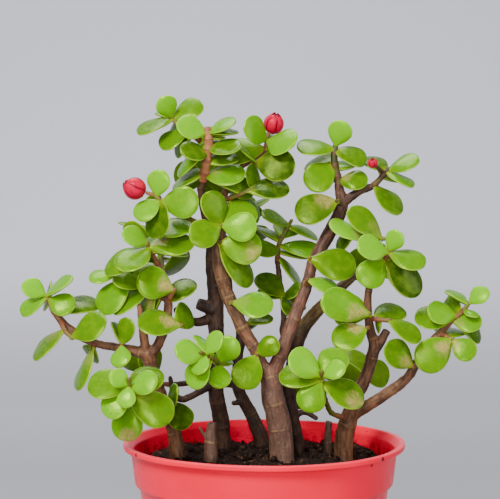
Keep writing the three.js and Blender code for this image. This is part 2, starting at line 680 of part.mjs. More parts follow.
// Whether a point with half a thickness of its own touches a leaf.
function touches(leaf, point, thickness) {
  const offset = point.clone().sub(leaf.foot);
  const a = offset.dot(leaf.along) / leaf.length;
  const c = offset.dot(leaf.across) / leaf.length;
  const margin = (CLEARANCE + thickness) / leaf.length;
  if (a < -margin || a > 1 + margin) return false;
  const wide = halfWidth(Math.min(1, Math.max(0, a)), leaf.length);
  if (Math.abs(c) > wide + margin) return false;
  const off = offset.dot(leaf.up) - sag(a, c) * leaf.length;
  const half = halfThickness(wide > 0 ? c / wide : 1);
  return Math.abs(off) < half + thickness + CLEARANCE;
}

const middle = (leaf) => pointOn(leaf, 0.5, 0, 0);

// Whether a point of a leaf is so close to its foot that it may touch another leaf of the same shoot.
const isBeside = (leaf, other, point) =>
  leaf.shoot === other.shoot && point.distanceTo(leaf.foot) < FREE_FOOT;

function isClear(leaf, leaves, beads) {
  const centre = middle(leaf);
  const near = leaves.filter(
    (other) => other.middle.distanceTo(centre) < (leaf.length + other.length) * 0.62,
  );
  const round = beads.filter(
    (bead) =>
      bead.point.distanceTo(centre) < leaf.length &&
      (bead.shoot !== leaf.shoot || bead.point.distanceTo(leaf.foot) > FREE_FOOT),
  );
  for (const [point, thickness] of probes(leaf)) {
    const clearance = thickness + CLEARANCE;
    if (round.some((bead) => bead.point.distanceTo(point) < bead.radius + clearance)) return false;
    if (near.some((other) => !isBeside(leaf, other, point) && touches(other, point, thickness))) return false;
    const fromAxis = Math.sqrt(point.x * point.x + point.y * point.y);
    if (point.z < POT_HEIGHT + 1.5 && fromAxis < RIM_RADIUS + 1.5) return false;
  }
  return !near.some((other) =>
    other.probes.some(
      ([point, thickness]) => !isBeside(other, leaf, point) && touches(leaf, point, thickness),
    ),
  );
}

// The leaf turned aside, a little more with every ring of tries.
function turned(leaf, attempt, size) {
  if (attempt === 0 && size === 1) return leaf;
  const ring = Math.ceil(attempt / TRIES_A_RING);
  const compass = (attempt * 2 * Math.PI) / TRIES_A_RING;
  const aside = Math.tan(ring * TRY_ANGLE);
  const along = leaf.along
    .clone()
    .addScaledVector(leaf.up, aside * Math.cos(compass))
    .addScaledVector(leaf.across, aside * Math.sin(compass))
    .normalize();
  const up = leaf.up.clone().addScaledVector(along, -leaf.up.dot(along)).normalize();
  const across = new THREE.Vector3().crossVectors(up, along);
  return { ...leaf, length: leaf.length * size, along, up, across };
}

// The first turn and size at which a leaf is clear of all that is placed before it, or nothing.
function settled(leaf, leaves, beads) {
  for (const size of SIZES)
    for (let attempt = 0; attempt <= TRIES; attempt++) {
      const tried = turned(leaf, attempt, size);
      if (isClear(tried, leaves, beads)) return tried;
    }
  return null;
}

// ---- Shoots ----
const twigLine = (shoot) => new THREE.CatmullRomCurve3(shoot.twig.map(place));

// The leaves that a shoot asks for, before they are kept clear.
function frontLeaves(shoot) {
  const line = twigLine(shoot);
  return (shoot.leaves ?? []).map(([share, right, up, forward, turn]) => {
    const foot = line.getPointAt(share * TIP_SHARE);
    const s = spread(foot.y);
    return leafFrom(foot, new THREE.Vector3(right * s, -forward, up * s), turn);
  });
}

function leavesBehind(shoot) {
  const line = twigLine(shoot);
  return Array.from({ length: shoot.behind ?? 0 }, (_, i) => {
    const foot = line.getPointAt(TIP_SHARE * (0.6 + (0.4 * i) / shoot.behind));
    const reach = new THREE.Vector3(draw(-7, 7), draw(9, 13), draw(-4, 8));
    return leafFrom(foot, reach, draw(-30, 30));
  });
}

const UP = new THREE.Vector3(0, 0, 1);

function pairedLeaves(shoot) {
  const line = twigLine(shoot);
  const leaves = [];
  for (let pair = 0; pair < (shoot.pairs ?? 0); pair++) {
    const share = TIP_SHARE * (0.4 + (0.6 * pair) / (shoot.pairs - 1));
    const foot = line.getPointAt(share);
    const axis = line.getTangentAt(share);
    const first = new THREE.Vector3().crossVectors(axis, UP).normalize();
    const second = new THREE.Vector3().crossVectors(axis, first);
    for (const side of [0, Math.PI]) {
      const roll = side + (pair * Math.PI) / 2 + draw(-0.25, 0.25);
      const tilt = draw(0.8, 1.25) - 0.4 * share;
      const along = first
        .clone()
        .multiplyScalar(Math.cos(roll))
        .addScaledVector(second, Math.sin(roll))
        .multiplyScalar(Math.sin(tilt))
        .addScaledVector(axis, Math.cos(tilt));
      const up = axis.clone().addScaledVector(along, -axis.dot(along)).normalize();
      const across = new THREE.Vector3().crossVectors(up, along);
      leaves.push({ foot, length: draw(11.5, 15.5), along, up, across });
    }
  }
  return leaves;
}

// Points along a limb that leaves keep clear of.
function beadsAlong(points, radii, shoot = null) {
  const line = new THREE.CatmullRomCurve3(points);
  const count = Math.ceil(line.getLength() / 2);
  return Array.from({ length: count + 1 }, (_, i) => ({
    point: line.getPointAt(i / count),
    radius: radiusAt(line, radii, i / count),
    shoot,
  }));
}

function twigRadii(shoot) {
  const [foot, tip] = shoot.radii ?? TWIG_RADII;
  return shoot.twig.map((_, i) => THREE.MathUtils.lerp(foot, tip, i / (shoot.twig.length - 1)));
}

// A stalk ends short of its bud by the gap between pieces.
function stalkEnds(shoot) {
  const [share, name] = shoot.stalk;
  const [at, diameter] = BUDS[name];
  const foot = twigLine(shoot).getPointAt(share);
  const end = place(at);
  const short = (diameter / 2) * (1 + PETAL_RELIEF) + GAP;
  return [foot, foot.clone().lerp(end, 1 - short / foot.distanceTo(end))];
}

function placeLeaves() {
  const beads = Object.values(STEMS).flatMap(([, ...limbs]) =>
    limbs.flatMap((points) => beadsAlong(points.map(place), points.map((point) => point[3]))),
  );
  for (const [at, diameter] of Object.values(BUDS))
    beads.push({ point: place(at), radius: diameter / 2 + 0.5, shoot: null });
  for (const [name, shoot] of Object.entries(SHOOTS)) {
    beads.push(...beadsAlong(shoot.twig.map(place), twigRadii(shoot), name));
    if (shoot.stalk) beads.push(...beadsAlong(stalkEnds(shoot), [STALK_RADIUS, STALK_RADIUS], name));
  }
  const placed = [];
  for (const kind of [frontLeaves, leavesBehind, pairedLeaves])
    for (const [name, shoot] of Object.entries(SHOOTS))
      for (const asked of kind(shoot)) {
        const leaf = settled({ ...asked, shoot: name }, placed, beads);
        if (leaf) placed.push({ ...leaf, middle: middle(leaf), probes: probes(leaf) });
      }
  return placed;
}

function shootSolid(name, shoot, leaves) {
  const parts = [limb(shoot.twig.map(place), twigRadii(shoot), TWIG_SIDES, TWIG_STEP)];
  if (shoot.stalk) parts.push(limb(stalkEnds(shoot), [STALK_RADIUS, STALK_RADIUS], TWIG_SIDES, TWIG_STEP));
  for (const leaf of leaves) if (leaf.shoot === name) parts.push(blade(leaf));
  return join(parts);
}

// ---- Buds ----
// A closed round bud: petals that lap like ridges round a ball, with a crown of small tips.
function bud(diameter) {
  const radius = diameter / 2;
  const ball = new THREE.SphereGeometry(radius, BUD_SIDES, BUD_RINGS);
  const position = ball.getAttribute("position");
  for (let i = 0; i < position.count; i++) {
    const [x, y, z] = [position.getX(i), position.getY(i), position.getZ(i)];
    const around = Math.atan2(z, x);
    const flat = Math.hypot(x, z) / radius;
    const grown = 1 + PETAL_RELIEF * flat * Math.cos(PETALS * around);
    position.setXYZ(i, x * grown, y, z * grown);
  }
  const tips = Array.from({ length: CROWN_TIPS }, (_, i) => {
    const angle = (2 * Math.PI * i) / CROWN_TIPS;
    const tip = new THREE.ConeGeometry(0.16 * diameter, 0.36 * diameter, 3);
    tip.translate(0, 0.14 * diameter, 0).rotateX(0.45).translate(0, 0.4 * diameter, 0.12 * diameter);
    return solid(tip.rotateY(angle));
  });
  return join([solid(ball), ...tips]);
}

// ---- The plant in its pot ----
const bonsai = new THREE.Group();
const potted = new THREE.Group();
const plant = new THREE.Group();
const budGroup = new THREE.Group();
bonsai.add(potted, plant);
plant.add(budGroup);

const grownWood = join(Object.values(STEMS).flatMap(([, ...limbs]) => stemLimbs(limbs, GAP)));

potted.add(piece("pot", pot(), RED_PLASTIC));
potted.add(piece("soil", largest(soil().subtract(grownWood)), SOIL_BROWN));

for (const [name, [bark, ...limbs]] of Object.entries(STEMS))
  plant.add(piece(name, join(stemLimbs(limbs)).simplify(SLIVER), bark));

const leaves = placeLeaves();
for (const [name, shoot] of Object.entries(SHOOTS)) {
  const whole = shootSolid(name, shoot, leaves).subtract(grownWood).simplify(SLIVER);
  plant.add(piece(name, largest(whole), LEAF_GREEN));
}

for (const [name, [at, diameter, [right, up, forward]]] of Object.entries(BUDS)) {
  const made = piece(name, bud(diameter), BUD_RED);
  made.position.copy(place(at));
  made.quaternion.setFromUnitVectors(
    new THREE.Vector3(0, 1, 0),
    new THREE.Vector3(right, -forward, up).normalize(),
  );
  budGroup.add(made);
}

export default bonsai;
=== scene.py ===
"""A dwarf jade bonsai in its red plastic pot: the looks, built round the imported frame.

The plant is worked out in millimetres and its meshes are written in metres, in the frame's own axes: +Z up,
+X to the right, +Y away from the front. Stems, shoots and buds are set out on a front elevation: (x, z, y) is
a point as it is seen from EYE on the plane through the pot's axis, with y its real depth behind that plane.
"""

import bisect
import math

import bmesh
import bpy
import numpy as np
from mathutils import Euler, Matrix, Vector, noise


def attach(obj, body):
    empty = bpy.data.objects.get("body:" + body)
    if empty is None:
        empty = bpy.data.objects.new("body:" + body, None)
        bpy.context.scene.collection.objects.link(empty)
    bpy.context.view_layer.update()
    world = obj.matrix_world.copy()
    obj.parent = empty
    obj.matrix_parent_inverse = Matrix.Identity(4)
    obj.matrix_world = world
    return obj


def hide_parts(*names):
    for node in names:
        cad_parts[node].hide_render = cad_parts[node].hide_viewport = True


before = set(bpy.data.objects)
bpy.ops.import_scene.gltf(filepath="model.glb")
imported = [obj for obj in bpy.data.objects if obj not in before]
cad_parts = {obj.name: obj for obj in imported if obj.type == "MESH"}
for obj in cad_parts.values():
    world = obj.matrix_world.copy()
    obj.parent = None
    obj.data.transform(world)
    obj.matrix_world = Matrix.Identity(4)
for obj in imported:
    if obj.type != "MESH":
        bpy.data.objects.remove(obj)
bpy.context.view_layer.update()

MM = 0.001
EYE = np.array((-5.0, -531.5, 179.4))  # where the front elevation is seen from, and the camera's place

GAP = 0.3  # clearance between pieces that touch
RIM_RADIUS = 50
POT_HEIGHT = 88
BASE_RADIUS = 34
STEP_RADIUS = 44.2  # the wall just under the step
SHOULDER_RADIUS = 47.4  # the wall just under the lip
SHOULDER_DRAFT = 1.5  # how far the shoulder narrows towards the step
LIP_HEIGHT = 1.8
SHOULDER_HEIGHT = 13
WALL = 1.2
FLOOR = 1.6
DRAIN_HOLES = 6
DRAIN_RADIUS = 4
DRAIN_CIRCLE = 22  # radius of the circle that the drain holes lie on
SOIL_LEVEL = 80
SOIL_RIPPLE = 0.7
SOIL_MOUNDS = ((34, 30, 3.4, 9), (-6, 12, 1.6, 15), (-30, 24, 1.4, 9), (10, 38, 1.8, 8))  # x, y, rise, radius
FOOT_LEVEL = 66  # how deep the stems stand in the soil
STALK_RADIUS = 0.7
TIP_SHARE = 0.93  # the share of a twig's length that its last leaves stand at
OUTLINE = ((0, 0), (0.26, 0.27), (0.67, 0.4), (1, 0.18))  # half widths along a blade, as shares of its length
BROADEST = 11.6  # no blade of the solids is wider, however long
MIDDLE_THICKNESS = 1.05  # half the thickness in the middle
EDGE_THICKNESS = 0.38  # half the thickness at the edge
CURL = -0.09  # how far the tip bends back, as a share of the length
CUP = 0.16  # how far the sides rise, per squared share of the length
PETAL_RELIEF = 0.07  # how far petals stand out, as a share of the bud's radius
PROBES_ALONG = (0.3, 0.44, 0.58, 0.72, 0.86, 0.98)
PROBES_ACROSS = (-1, -0.66, -0.33, 0, 0.33, 0.66, 1)
CLEARANCE = 0.35  # between a leaf and its neighbours
POT_CLEARANCE = 1.5  # leaves keep this far above and outside the pot's rim
REACH = 0.62  # leaves whose middles are further apart than this share of their lengths' sum can't touch
FREE_FOOT = 5.5  # a leaf may touch its own twig and the leaves beside it this close to its foot
TRIES = 40  # turns tried at each size
TRIES_A_RING = 8
TRY_ANGLE = 0.13  # radians from one ring of tries to the next
SIZES = (1, 0.86, 0.72)
SEED = 20417
BACK_TONE = 0.25  # painted shade: leaves out of the front's sight are no lighter than this
OLD_TONE = 0.3  # shoots up to this tone have duller leaves

STEMS = {
    # bark, then for each limb its points (x, z, y, radius), the main limb first
    "stem_left": (
        "brown_bark",
        [(-30.9, 82, 8, 2.9), (-32.3, 92, 8, 2.5), (-35.1, 99.5, 6, 2.3), (-38.7, 110, 3, 2.2),
         (-41.2, 119, 0, 2.6)],
        [(-41, 118.5, 0, 2.2), (-37.6, 122.5, 0, 1.8), (-34.3, 133, 0, 1.7), (-34.5, 141, 0, 1.5),
         (-37.6, 151, 0, 1.1)],
        [(-41, 119, 0, 2.2), (-52.9, 121.5, 0, 1.5), (-59, 122.5, 0, 1.4), (-68.9, 127.5, 0, 1.7),
         (-75, 134.5, 0, 1.1)],
        [(-41.5, 118, 0, 1.9), (-42.6, 124, -1, 1.7), (-43.6, 131, -2, 1.2), (-44.3, 136, -2, 0.8)],
    ),
    "stub_cut": (
        "pale_bark",
        [(-19, 81.5, 3, 2.7), (-18.9, 89, 3, 2.2), (-18.6, 94.5, 3, 1.6)],
        [(-20.3, 88.5, 3, 0.7), (-23, 92.5, 2, 0.5)],
    ),
    "stem_dark": (
        "dark_bark",
        [(-14.9, 88.5, 27, 3.2), (-15.4, 96, 25, 3.1), (-17.2, 106, 20, 2.9), (-17, 126, 15, 2.9),
         (-17.2, 138.5, 13, 2.8), (-18.4, 149, 10, 2.4), (-18.9, 160, 7, 1.9), (-22.3, 175.5, 2, 1.3),
         (-21.7, 181, 0, 1.1)],
        [(-18, 135, 13, 2.6), (-23.8, 137, 12, 2.1)],
        [(-17.5, 132, 14, 1.9), (-24.5, 130.5, 11, 1.6), (-31, 134.5, 8, 1.3)],
        [(-17.4, 108.5, 19, 1.5), (-23, 105.5, 15, 1.3), (-29.2, 102.7, 12, 1.1), (-32, 104.5, 11, 1.4),
         (-33.4, 110.5, 10, 0.8)],
    ),
    "stem_slanting": (
        "dark_bark",
        [(-0.7, 87, 33, 3.1), (-4.6, 97.5, 30, 2.4), (-9, 106, 27, 2.3), (-9.5, 115, 26, 2),
         (-8.5, 127, 27, 1.8), (-12, 139, 31, 1.6), (-13, 152, 36, 1.2)],
        [(-7.5, 102, 28, 1.3), (-10.8, 101.5, 24, 1)],
        [(-9.3, 108, 27, 1.6), (-22, 109, 38, 1.2), (-33, 108, 40, 1)],
    ),
    "trunk": (
        "pale_bark",
        [(6.4, 83, 3, 4.4), (5.4, 94, 2, 4.3), (3, 104.5, 0, 4), (2.2, 112, 0, 3.4)],
        [(1.8, 109.5, 0, 2.9), (-1.4, 116, 0, 2.5), (-3.3, 121, 0, 2.3), (-6.7, 126.5, 0, 2.3),
         (-10, 133.5, 0, 2.4), (-13.6, 142, 0, 2.5), (-16.2, 154, -1, 2.5), (-14.9, 166, 1, 1.9),
         (-14.2, 175.5, 6, 1.4), (-8.5, 185.2, 9, 1.1), (-2.1, 188.8, 10, 1)],
        [(2.4, 110.5, 0, 2.8), (6.7, 120.7, 0, 2.4), (9.2, 128, 1, 2.4), (14.6, 142, 3, 2.1),
         (17.6, 152, 5, 2.1), (22.3, 160.5, 6, 2.5), (27.3, 171, 8, 2.4), (26.3, 179.3, 8, 1.6)],
        [(28, 173, 8, 1.8), (33.5, 176.6, 8, 1.5), (38.6, 178.6, 8, 1.2)],
    ),
    "stem_middle": (
        "dark_bark",
        [(12.2, 85, 17, 2.3), (10.4, 94, 16, 2.7), (8.8, 103, 15, 2.7), (9.4, 110, 14, 2.6),
         (12.8, 126, 13, 2.6), (16.3, 131.5, 12, 2.5), (24, 139.5, 11, 2.1), (33, 148, 18, 1.6),
         (38, 152, 27, 1.2)],
        [(10.5, 117, 14, 1.6), (6.6, 127, 17, 1.2), (7, 132, 18, 1.1), (4.7, 152, 23, 1)],
        [(11, 97, 16, 1.3), (14.6, 98.2, 15, 1.1), (18.6, 96, 14, 0.9)],
        [(10.5, 113, 14, 1.7), (15, 113, 25, 1.3), (18, 112, 34, 1)],
    ),
    "stem_right": (
        "brown_bark",
        [(28.4, 82, 8, 3.5), (28.6, 89, 8, 3.5), (31, 98, 7, 3.1), (33, 104.5, 6, 2.5), (36.2, 110.7, 5, 2.3),
         (39, 122.4, 3, 2), (37.6, 128, 2, 1.7), (36.9, 139, 0, 1.4), (38.3, 147, -2, 1.2),
         (41.9, 152, -4, 1)],
        [(39, 119, 3, 1.7), (41, 122.5, 3, 1.6), (43.7, 127.5, 2, 1.6)],
        [(31, 97, 7, 2.4), (39.4, 102, 6, 2.1), (51, 110.5, 4, 1.8), (54, 115.3, 4, 1.7),
         (58.9, 122.4, 3, 1.5), (66, 130.2, 2, 1.1)],
        [(36.5, 111.5, 5, 1.7), (36.6, 112, 22, 1.3), (36.3, 113, 34, 1)],
    ),
    "stump_dark": (
        "dark_bark",
        [(23, 85, 20, 1.5), (22.8, 90, 20, 1.4), (23.2, 95, 20, 1.2)],
    ),
}


class Shoot:
    """A twig's points (x, z, y) and its front leaves, each as its share of the twig's length, how far its tip
    lies to the right, up and forward of its foot, how far its face is turned aside and, where it has them, a
    tone of its own and a corky patch."""

    def __init__(self, twig, *leaves, tone=BACK_TONE, behind=0, pairs=0, radii=(1, 0.7), stalk=None):
        self.twig, self.leaves, self.tone = twig, leaves, tone  # tone: from 0, old and dark, to 1, young; low tones also paint in the shade of leaves that stand in shadow
        self.behind, self.pairs = behind, pairs  # how many leaves, and pairs of them, the seeded draws place
        self.radii = [radii[0] + (radii[1] - radii[0]) * i / (len(twig) - 1) for i in range(len(twig))]
        self.stalk = stalk  # the share of the twig that a bud's stalk starts at, and the bud


SHOOTS = {
    "shoot_top_left": Shoot(
        [(-22.5, 194.5, 0), (-27, 198, 2), (-30.5, 200.4, 3), (-33.2, 203.5, 3)],
        (1, -2.6, 7, 5.5, 8, 0.95), (0.95, 9.8, 6.4, 0, 38, 0.4), (0.95, -13, -3.8, 2, 64, 0.35),
        (0.97, -6, 1.5, -8, 70, 0.3), (0.45, -10, -5, 2, 46, 0.45), (0.3, -7, -6.5, -6, 50, 0.3),
        tone=0.72, behind=1, stalk=(0.5, "bud_top_left"),
    ),
    "shoot_top": Shoot(
        [(-21.7, 180.5, 0), (-20.5, 186.5, -3), (-19.6, 193, -4), (-20, 198.5, -4)],
        (1, -10.5, 3.8, 4, 34, 0.85), (1, 9.5, 5.5, 2, 62, 0.7), (1, 10.5, 1.8, -4, 70, 0.25),
        (1, 2, 1, -12, 40), (0.6, -9, 1.5, 6, 44, 0.2), (0.82, -15.3, -9.5, -2, 60, 0.5),
        (0.7, 11, 1, 6, 56, 0.3), (0.12, 14.5, 1.2, 3, 50, 0.62, 0.35), (0.15, -13, 0, -6, 52, 0.3),
        (0.4, 11.5, 2, -4, 60, 0.3),
        tone=0.55, behind=1, radii=(1.6, 1.4),
    ),
    "shoot_left_high": Shoot(
        [(-18.9, 160, 7), (-23, 165, 0), (-33.4, 171, -6), (-39.6, 176, -8)],
        (1, 1.3, 9.6, 3, 16, 0.9), (0.95, -9.2, -5.2, 3, 36, 0.82), (0.93, 13, -0.5, 4, 5, 0.62),
        (0.95, -1.6, -13.2, 4, 40, 0.12), (0.3, -15, -1, 3, 58), (0.6, 3, 9, -8, 30),
        tone=0.6, behind=1, stalk=(0.97, "bud_left"),
    ),
    "shoot_left_middle": Shoot(
        [(-37.4, 150, 0), (-39.8, 155, -3), (-41.5, 158.5, -5)],
        (1, -8.2, 5.2, 4, 42, 0.8), (0.8, -17, -7.2, -1, 52), (0.85, -9.6, -9.2, 7, 40),
        (0.9, 14.5, 3, 6, 50, None, 0.7), (0.7, 13, 0, -3, 74),
        tone=0.45, behind=1,
    ),
    "shoot_left_stem": Shoot(
        [(-34.2, 137, 0), (-33, 140, -3), (-31.8, 142, -5)],
        (1, -12.3, 5, 4, 12, None, 0.8), (0.1, 8.6, 8.6, -3, 45, 0.08),
        tone=0.5,
    ),
    "shoot_left_spur": Shoot(
        [(-34.8, 130.5, 0), (-31, 129, -4), (-29, 129.3, -5)],
        (1, -15, 2.2, 4, 45, None, 0.85),
        tone=0.4, behind=1,
    ),
    "shoot_left_low": Shoot(
        [(-34.4, 138, 0), (-40.5, 142, 1), (-47.5, 145.6, 3), (-53.5, 148.4, 5)],
        (1, -9.9, -1.2, 2, 58, 0.68), (0.76, -10.2, -11.2, 4, 36, 0.6), (0.36, -13.3, -5.5, 6, 56, 0.45),
        (0.25, -10.6, -7.4, 1, 50, None, 0.6), (0.68, 7, 6.4, -3, 44, 0.4), (0.12, -7, -4, -4, 50, 0.2),
        (0.5, -10.5, 2, 3, 50, 0.42),
        tone=0.5, behind=2,
    ),
    "shoot_left_branch": Shoot(
        [(-50.5, 121.2, 0), (-50.5, 122.5, -4)],
        (1, 2, 9.5, 2, 36), (0.9, -2.5, 8, -5, 70, 0.1), (0.9, -0.5, -7, 6, 20, 0.8),
        tone=0.4, behind=1,
    ),
    "shoot_left_hanging": Shoot(
        [(-60, 122.9, 0), (-61, 120.5, -3)],
        (1, -6.7, -14, 2, 66, None, 0.35),
        tone=0.48, behind=1,
    ),
    "shoot_far_left": Shoot(
        [(-74.7, 134, 0), (-76.5, 138, 0), (-77.5, 140, 0)],
        (1, -8, 5, 2, 35, 0.9), (1, 9, 7.5, 2, 68), (0.9, -9.5, -5, 2, 54), (0.8, 9.5, -2.5, 4, 25, 0.58),
        (0.2, 17, 4.6, -4, 56, 0.2),
        tone=0.65, behind=1,
    ),
    "shoot_far_left_low": Shoot(
        [(-72, 131, 0), (-71, 127.5, -4), (-68, 124.5, -6)],
        (1, 12, 7.5, 3, 42), (0.55, -11.5, -9.5, 2, 66, None, 0.35), (0.9, 4, -2, -9, 50),
        tone=0.35,
    ),
    "shoot_front_left": Shoot(
        [(-38, 104, 5), (-42, 101, -8), (-46.5, 101.5, -22), (-48, 106, -30), (-48.2, 110, -33)],
        (1, -6, 5, 3, 26, 0.95), (1, -1.2, -7, 4, 15, 0.95), (0.96, 9.8, 4.6, 3, 34),
        (0.95, -15, 3.4, -3, 36, 0.48), (0.9, -9, -7, 3, 25), (0.9, 15.2, -8.4, 3, 20, 0.33, 0.25),
        (0.85, 12, 8, -5, 40, 0.38), (0.58, -6.5, -12, 2, 15, 0.62, -1),
        tone=0.8, behind=1,
    ),
    "shoot_low_left": Shoot(
        [(-35.2, 100, 6), (-34, 101.5, 1)],
        (1, 7.5, -7.5, 4, 20), (0.9, 3, 6, 8, 60),
        tone=0.12,
    ),
    "shoot_front_middle": Shoot(
        [(-17, 113, 17), (-16.5, 114.5, 0), (-17, 116.5, -14), (-22.5, 119.5, -22)],
        (1, -10.5, 3, 4, 36), (1, 5, 8.5, 2, 48), (1, -3, -6, 5, 40), (0.95, -6.7, -10.6, 2, 38),
        (0.9, -10.5, -4.5, -3, 46), (0.9, -5, 8, -7, 70), (0.7, 5, 9, 4, 10), (0.66, 1, -7.5, 6, 10),
        tone=0.85, behind=1,
    ),
    "shoot_middle": Shoot(
        [(-14.9, 163.5, 1), (-15.3, 164.8, -7)],
        (1, -10.2, -4.8, 6, 12), (1, 12.3, -0.5, 4, 12, 0.8), (0.9, -5.3, 11.5, 3, 34, 0.28),
        (0.85, 10.5, 9.8, 1, 26, 0.5),
        tone=0.42,
    ),
    "shoot_middle_high": Shoot(
        [(-14.2, 174, 5.5), (-12, 174.5, 0), (-8, 176, -2), (-5, 177.4, -2)],
        (1, 14.8, 2.4, -3, 50, 0), (0.35, 12, -6, -6, 44, 0.2), (0.8, -6, 9, -3, 60),
        tone=0.35, behind=1,
    ),
    "shoot_middle_low": Shoot(
        [(-16.2, 157, -0.5), (-15.5, 158.8, -6)],
        (1, 14.5, -2.6, 2, 14, None, -0.6), (0.8, 12, -14.5, -1, 50, 0.18), (0.4, -4, -8, -8, 60),
        tone=0.48, behind=1,
    ),
    "shoot_top_middle_low": Shoot(
        [(-5.5, 187.2, 9.5), (-2.8, 187, 4)],
        (1, 12.5, -6.8, 3, 14, 0), (0.6, 2, -9, 5, 55), (1, -10, 1, 4, 66),
        tone=0.3, behind=1,
    ),
    "shoot_top_middle": Shoot(
        [(-2.6, 188.6, 10), (0.3, 192, 8), (1, 196.5, 7)],
        (0.9, -8.4, 8, 5, 34), (0.85, 10.6, 2.6, 9, 46), (0.55, -16, -1.5, 1, 36, 0.38),
        (0.9, -3, 4, -11, 40),
        tone=0.62, behind=1, stalk=(0.97, "bud_top_middle"),
    ),
    "shoot_right_top": Shoot(
        [(26.5, 179, 8), (24.9, 187, 8), (24.9, 191, 8), (25.4, 193.5, 8)],
        (1, 2.3, 8.6, 5.5, 5, 0.95), (0.95, -13.3, 1.6, 2, 56, 0.42), (0.9, 11.2, -3.4, 2, 46, 0.3),
        (0.5, -10, -7, 4, 8), (0.6, -12.5, 1.2, -5, 50, 0.25), (0.12, 10.2, 0.5, 3, 38, 0.3, 0.5),
        (0.4, 6, 3, -6, 50),
        tone=0.5, behind=1, radii=(1.5, 1),
    ),
    "shoot_right_high": Shoot(
        [(28, 172, 8), (25.6, 173.2, 2)],
        (1, -14.7, -4.4, 2, 28, None, 0.6),
        tone=0.16, behind=1,
    ),
    "shoot_right_crown": Shoot(
        [(38.2, 178.3, 8), (40.5, 180.6, 7), (43, 183.6, 7), (44.2, 184.6, 7)],
        (1, 10.4, 5, 3, 57), (0.9, 10, -4.2, 3, 68), (0.95, -5.6, 6.8, -7, 40, 0.15),
        (0.12, 9.6, -9.4, 4, 52, 0.2), (0.2, -8, -3, -7, 74),
        tone=0.5, behind=1, radii=(1.2, 0.9), stalk=(0.75, "bud_right"),
    ),
    "shoot_back_middle": Shoot(
        [(4.7, 151.5, 23), (5.3, 158, 25), (8.6, 164.5, 26), (9.7, 166.5, 26)],
        (0.95, -9, 4.5, 6, 66), (0.9, 11, -3, -5, 70), (0.4, 15.5, -1, 4, 60, 0.7), (0.25, 10, -1, -8, 78),
        (0.5, -8, 6, -6, 72), (0.35, -8, 0, 8, 50), (0.15, 9.5, -10.5, -2, 74),
        tone=0.3, behind=1,
    ),
    "shoot_back_middle_low": Shoot(
        [(6.5, 139, 20), (7.3, 139.5, 14)],
        (1, 5, 4, 6, 62), (0.8, 8, -2, -8, 50), (1, 2, -6, 7, 56), (0.8, -8, 1.6, -6, 56),
        (0.9, -9.5, 8, -2, 44),
        tone=0.12, behind=1,
    ),
    "shoot_fork_high": Shoot(
        [(-11.6, 137, 0), (-11.4, 137.4, -5)],
        (1, 14.5, -0.5, 3, 44, None, 0.3),
        tone=0.66,
    ),
    "shoot_fork_middle": Shoot([(-8, 129, 0), (-6, 129.8, 4)], (1, 9, 3, -3, 60), tone=0.12, behind=1),
    "shoot_fork": Shoot(
        [(-3, 120, 0), (-2.5, 118.5, -5.5)],
        (1, -6, -11, 4, 0), (0.8, 7.5, 5, 2, 20, 0.3),
        tone=0.48, behind=1,
    ),
    "shoot_right_upper": Shoot(
        [(24.5, 163.5, 7), (32, 161, 3), (38, 160.2, 0), (43, 160, -2)],
        (1, -11.2, 11, 2, 46, None, 0.3), (0.76, -13.8, 6, 4, 62, 0.95, 0.5), (0.42, -6, -5, -5, 50, 0.1),
        tone=0.42, behind=1,
    ),
    "shoot_right_branch": Shoot([(17.6, 152.5, 5), (16.3, 153, -1)], (1, 16, -3, 2, 22), tone=0.36),
    "shoot_right_branch_low": Shoot([(15, 143, 3), (15.3, 145.5, -2)], (1, 11.5, -3.6, 0, 58), tone=0.8),
    "shoot_right": Shoot(
        [(41.5, 151.5, -4), (43.7, 154, -7), (44.5, 156, -8)],
        (1, 3, 7, 4, 20, 0.92), (0.9, -11, 3.5, 5, 38, 0.85), (0.9, 13, -3, 3, 50),
        (0.3, 14, -11.5, -1, 32, 0.02), (0.4, -8.5, -8.5, 4, 8, 0.62),
        tone=0.52, behind=2,
    ),
    "shoot_right_middle": Shoot(
        [(37.4, 132.5, 1), (37.4, 133.2, -3.5)],
        (1, -16.6, 6.2, 7, 20, None, 0.8),
        tone=0.58, behind=1,
    ),
    "shoot_right_side": Shoot(
        [(37.2, 132, 1), (41, 131.2, -2), (45, 131, -3)],
        (0.3, 11, 4, -6, 48), (1, 12, -5, 3, 58, 0.35),
        tone=0.25, behind=1,
    ),
    "shoot_right_stem": Shoot(
        [(37.5, 128.5, 2), (36.5, 128.2, -4)],
        (1, -12, -5, 4, 34, None, 0.9),
        tone=0.5,
    ),
    "shoot_right_fork": Shoot([(54, 115, 4), (53, 114.3, -2)], (1, -9.5, 8.5, 3, 30, None, 0.5), tone=0.3),
    "shoot_far_right": Shoot(
        [(65.5, 129.7, 2), (69.5, 133.2, 1), (72, 136, 0), (73, 137.5, 0)],
        (1, 6.5, 5.5, 2, 40, 0.85), (0.97, -7, 5.5, -4, 68), (0.4, -10.5, 3, 3, 34),
        (0.15, 10, 0, 4, 36, None, 0.4), (0.7, 4.5, -3, 3, 60), (0.3, 11, -6.5, -6, 50, 0.2),
        (0.05, -12, 3.4, -1, 40, 0.5),
        tone=0.62, behind=1,
    ),
    "shoot_right_low": Shoot(
        [(62.5, 126.3, 3), (67.3, 124, -2)],
        (0.96, -14.2, -6, 3, 6, None, 1), (1, 6.7, -5.8, 5, 12, None, 0.7), (0.4, -12, 5, -1, 50),
        tone=0.55, behind=1,
    ),
    "shoot_front_right": Shoot(
        [(29.5, 96, 7), (24.5, 97.6, 2), (22.4, 101, -6), (20.9, 106.5, -14), (20.4, 111.5, -20),
         (20.5, 113, -21)],
        (1, -10.5, 9, 2, 34), (0.95, -15, 2.5, -3, 50, 0.42), (1, 8, 4.5, 3, 44),
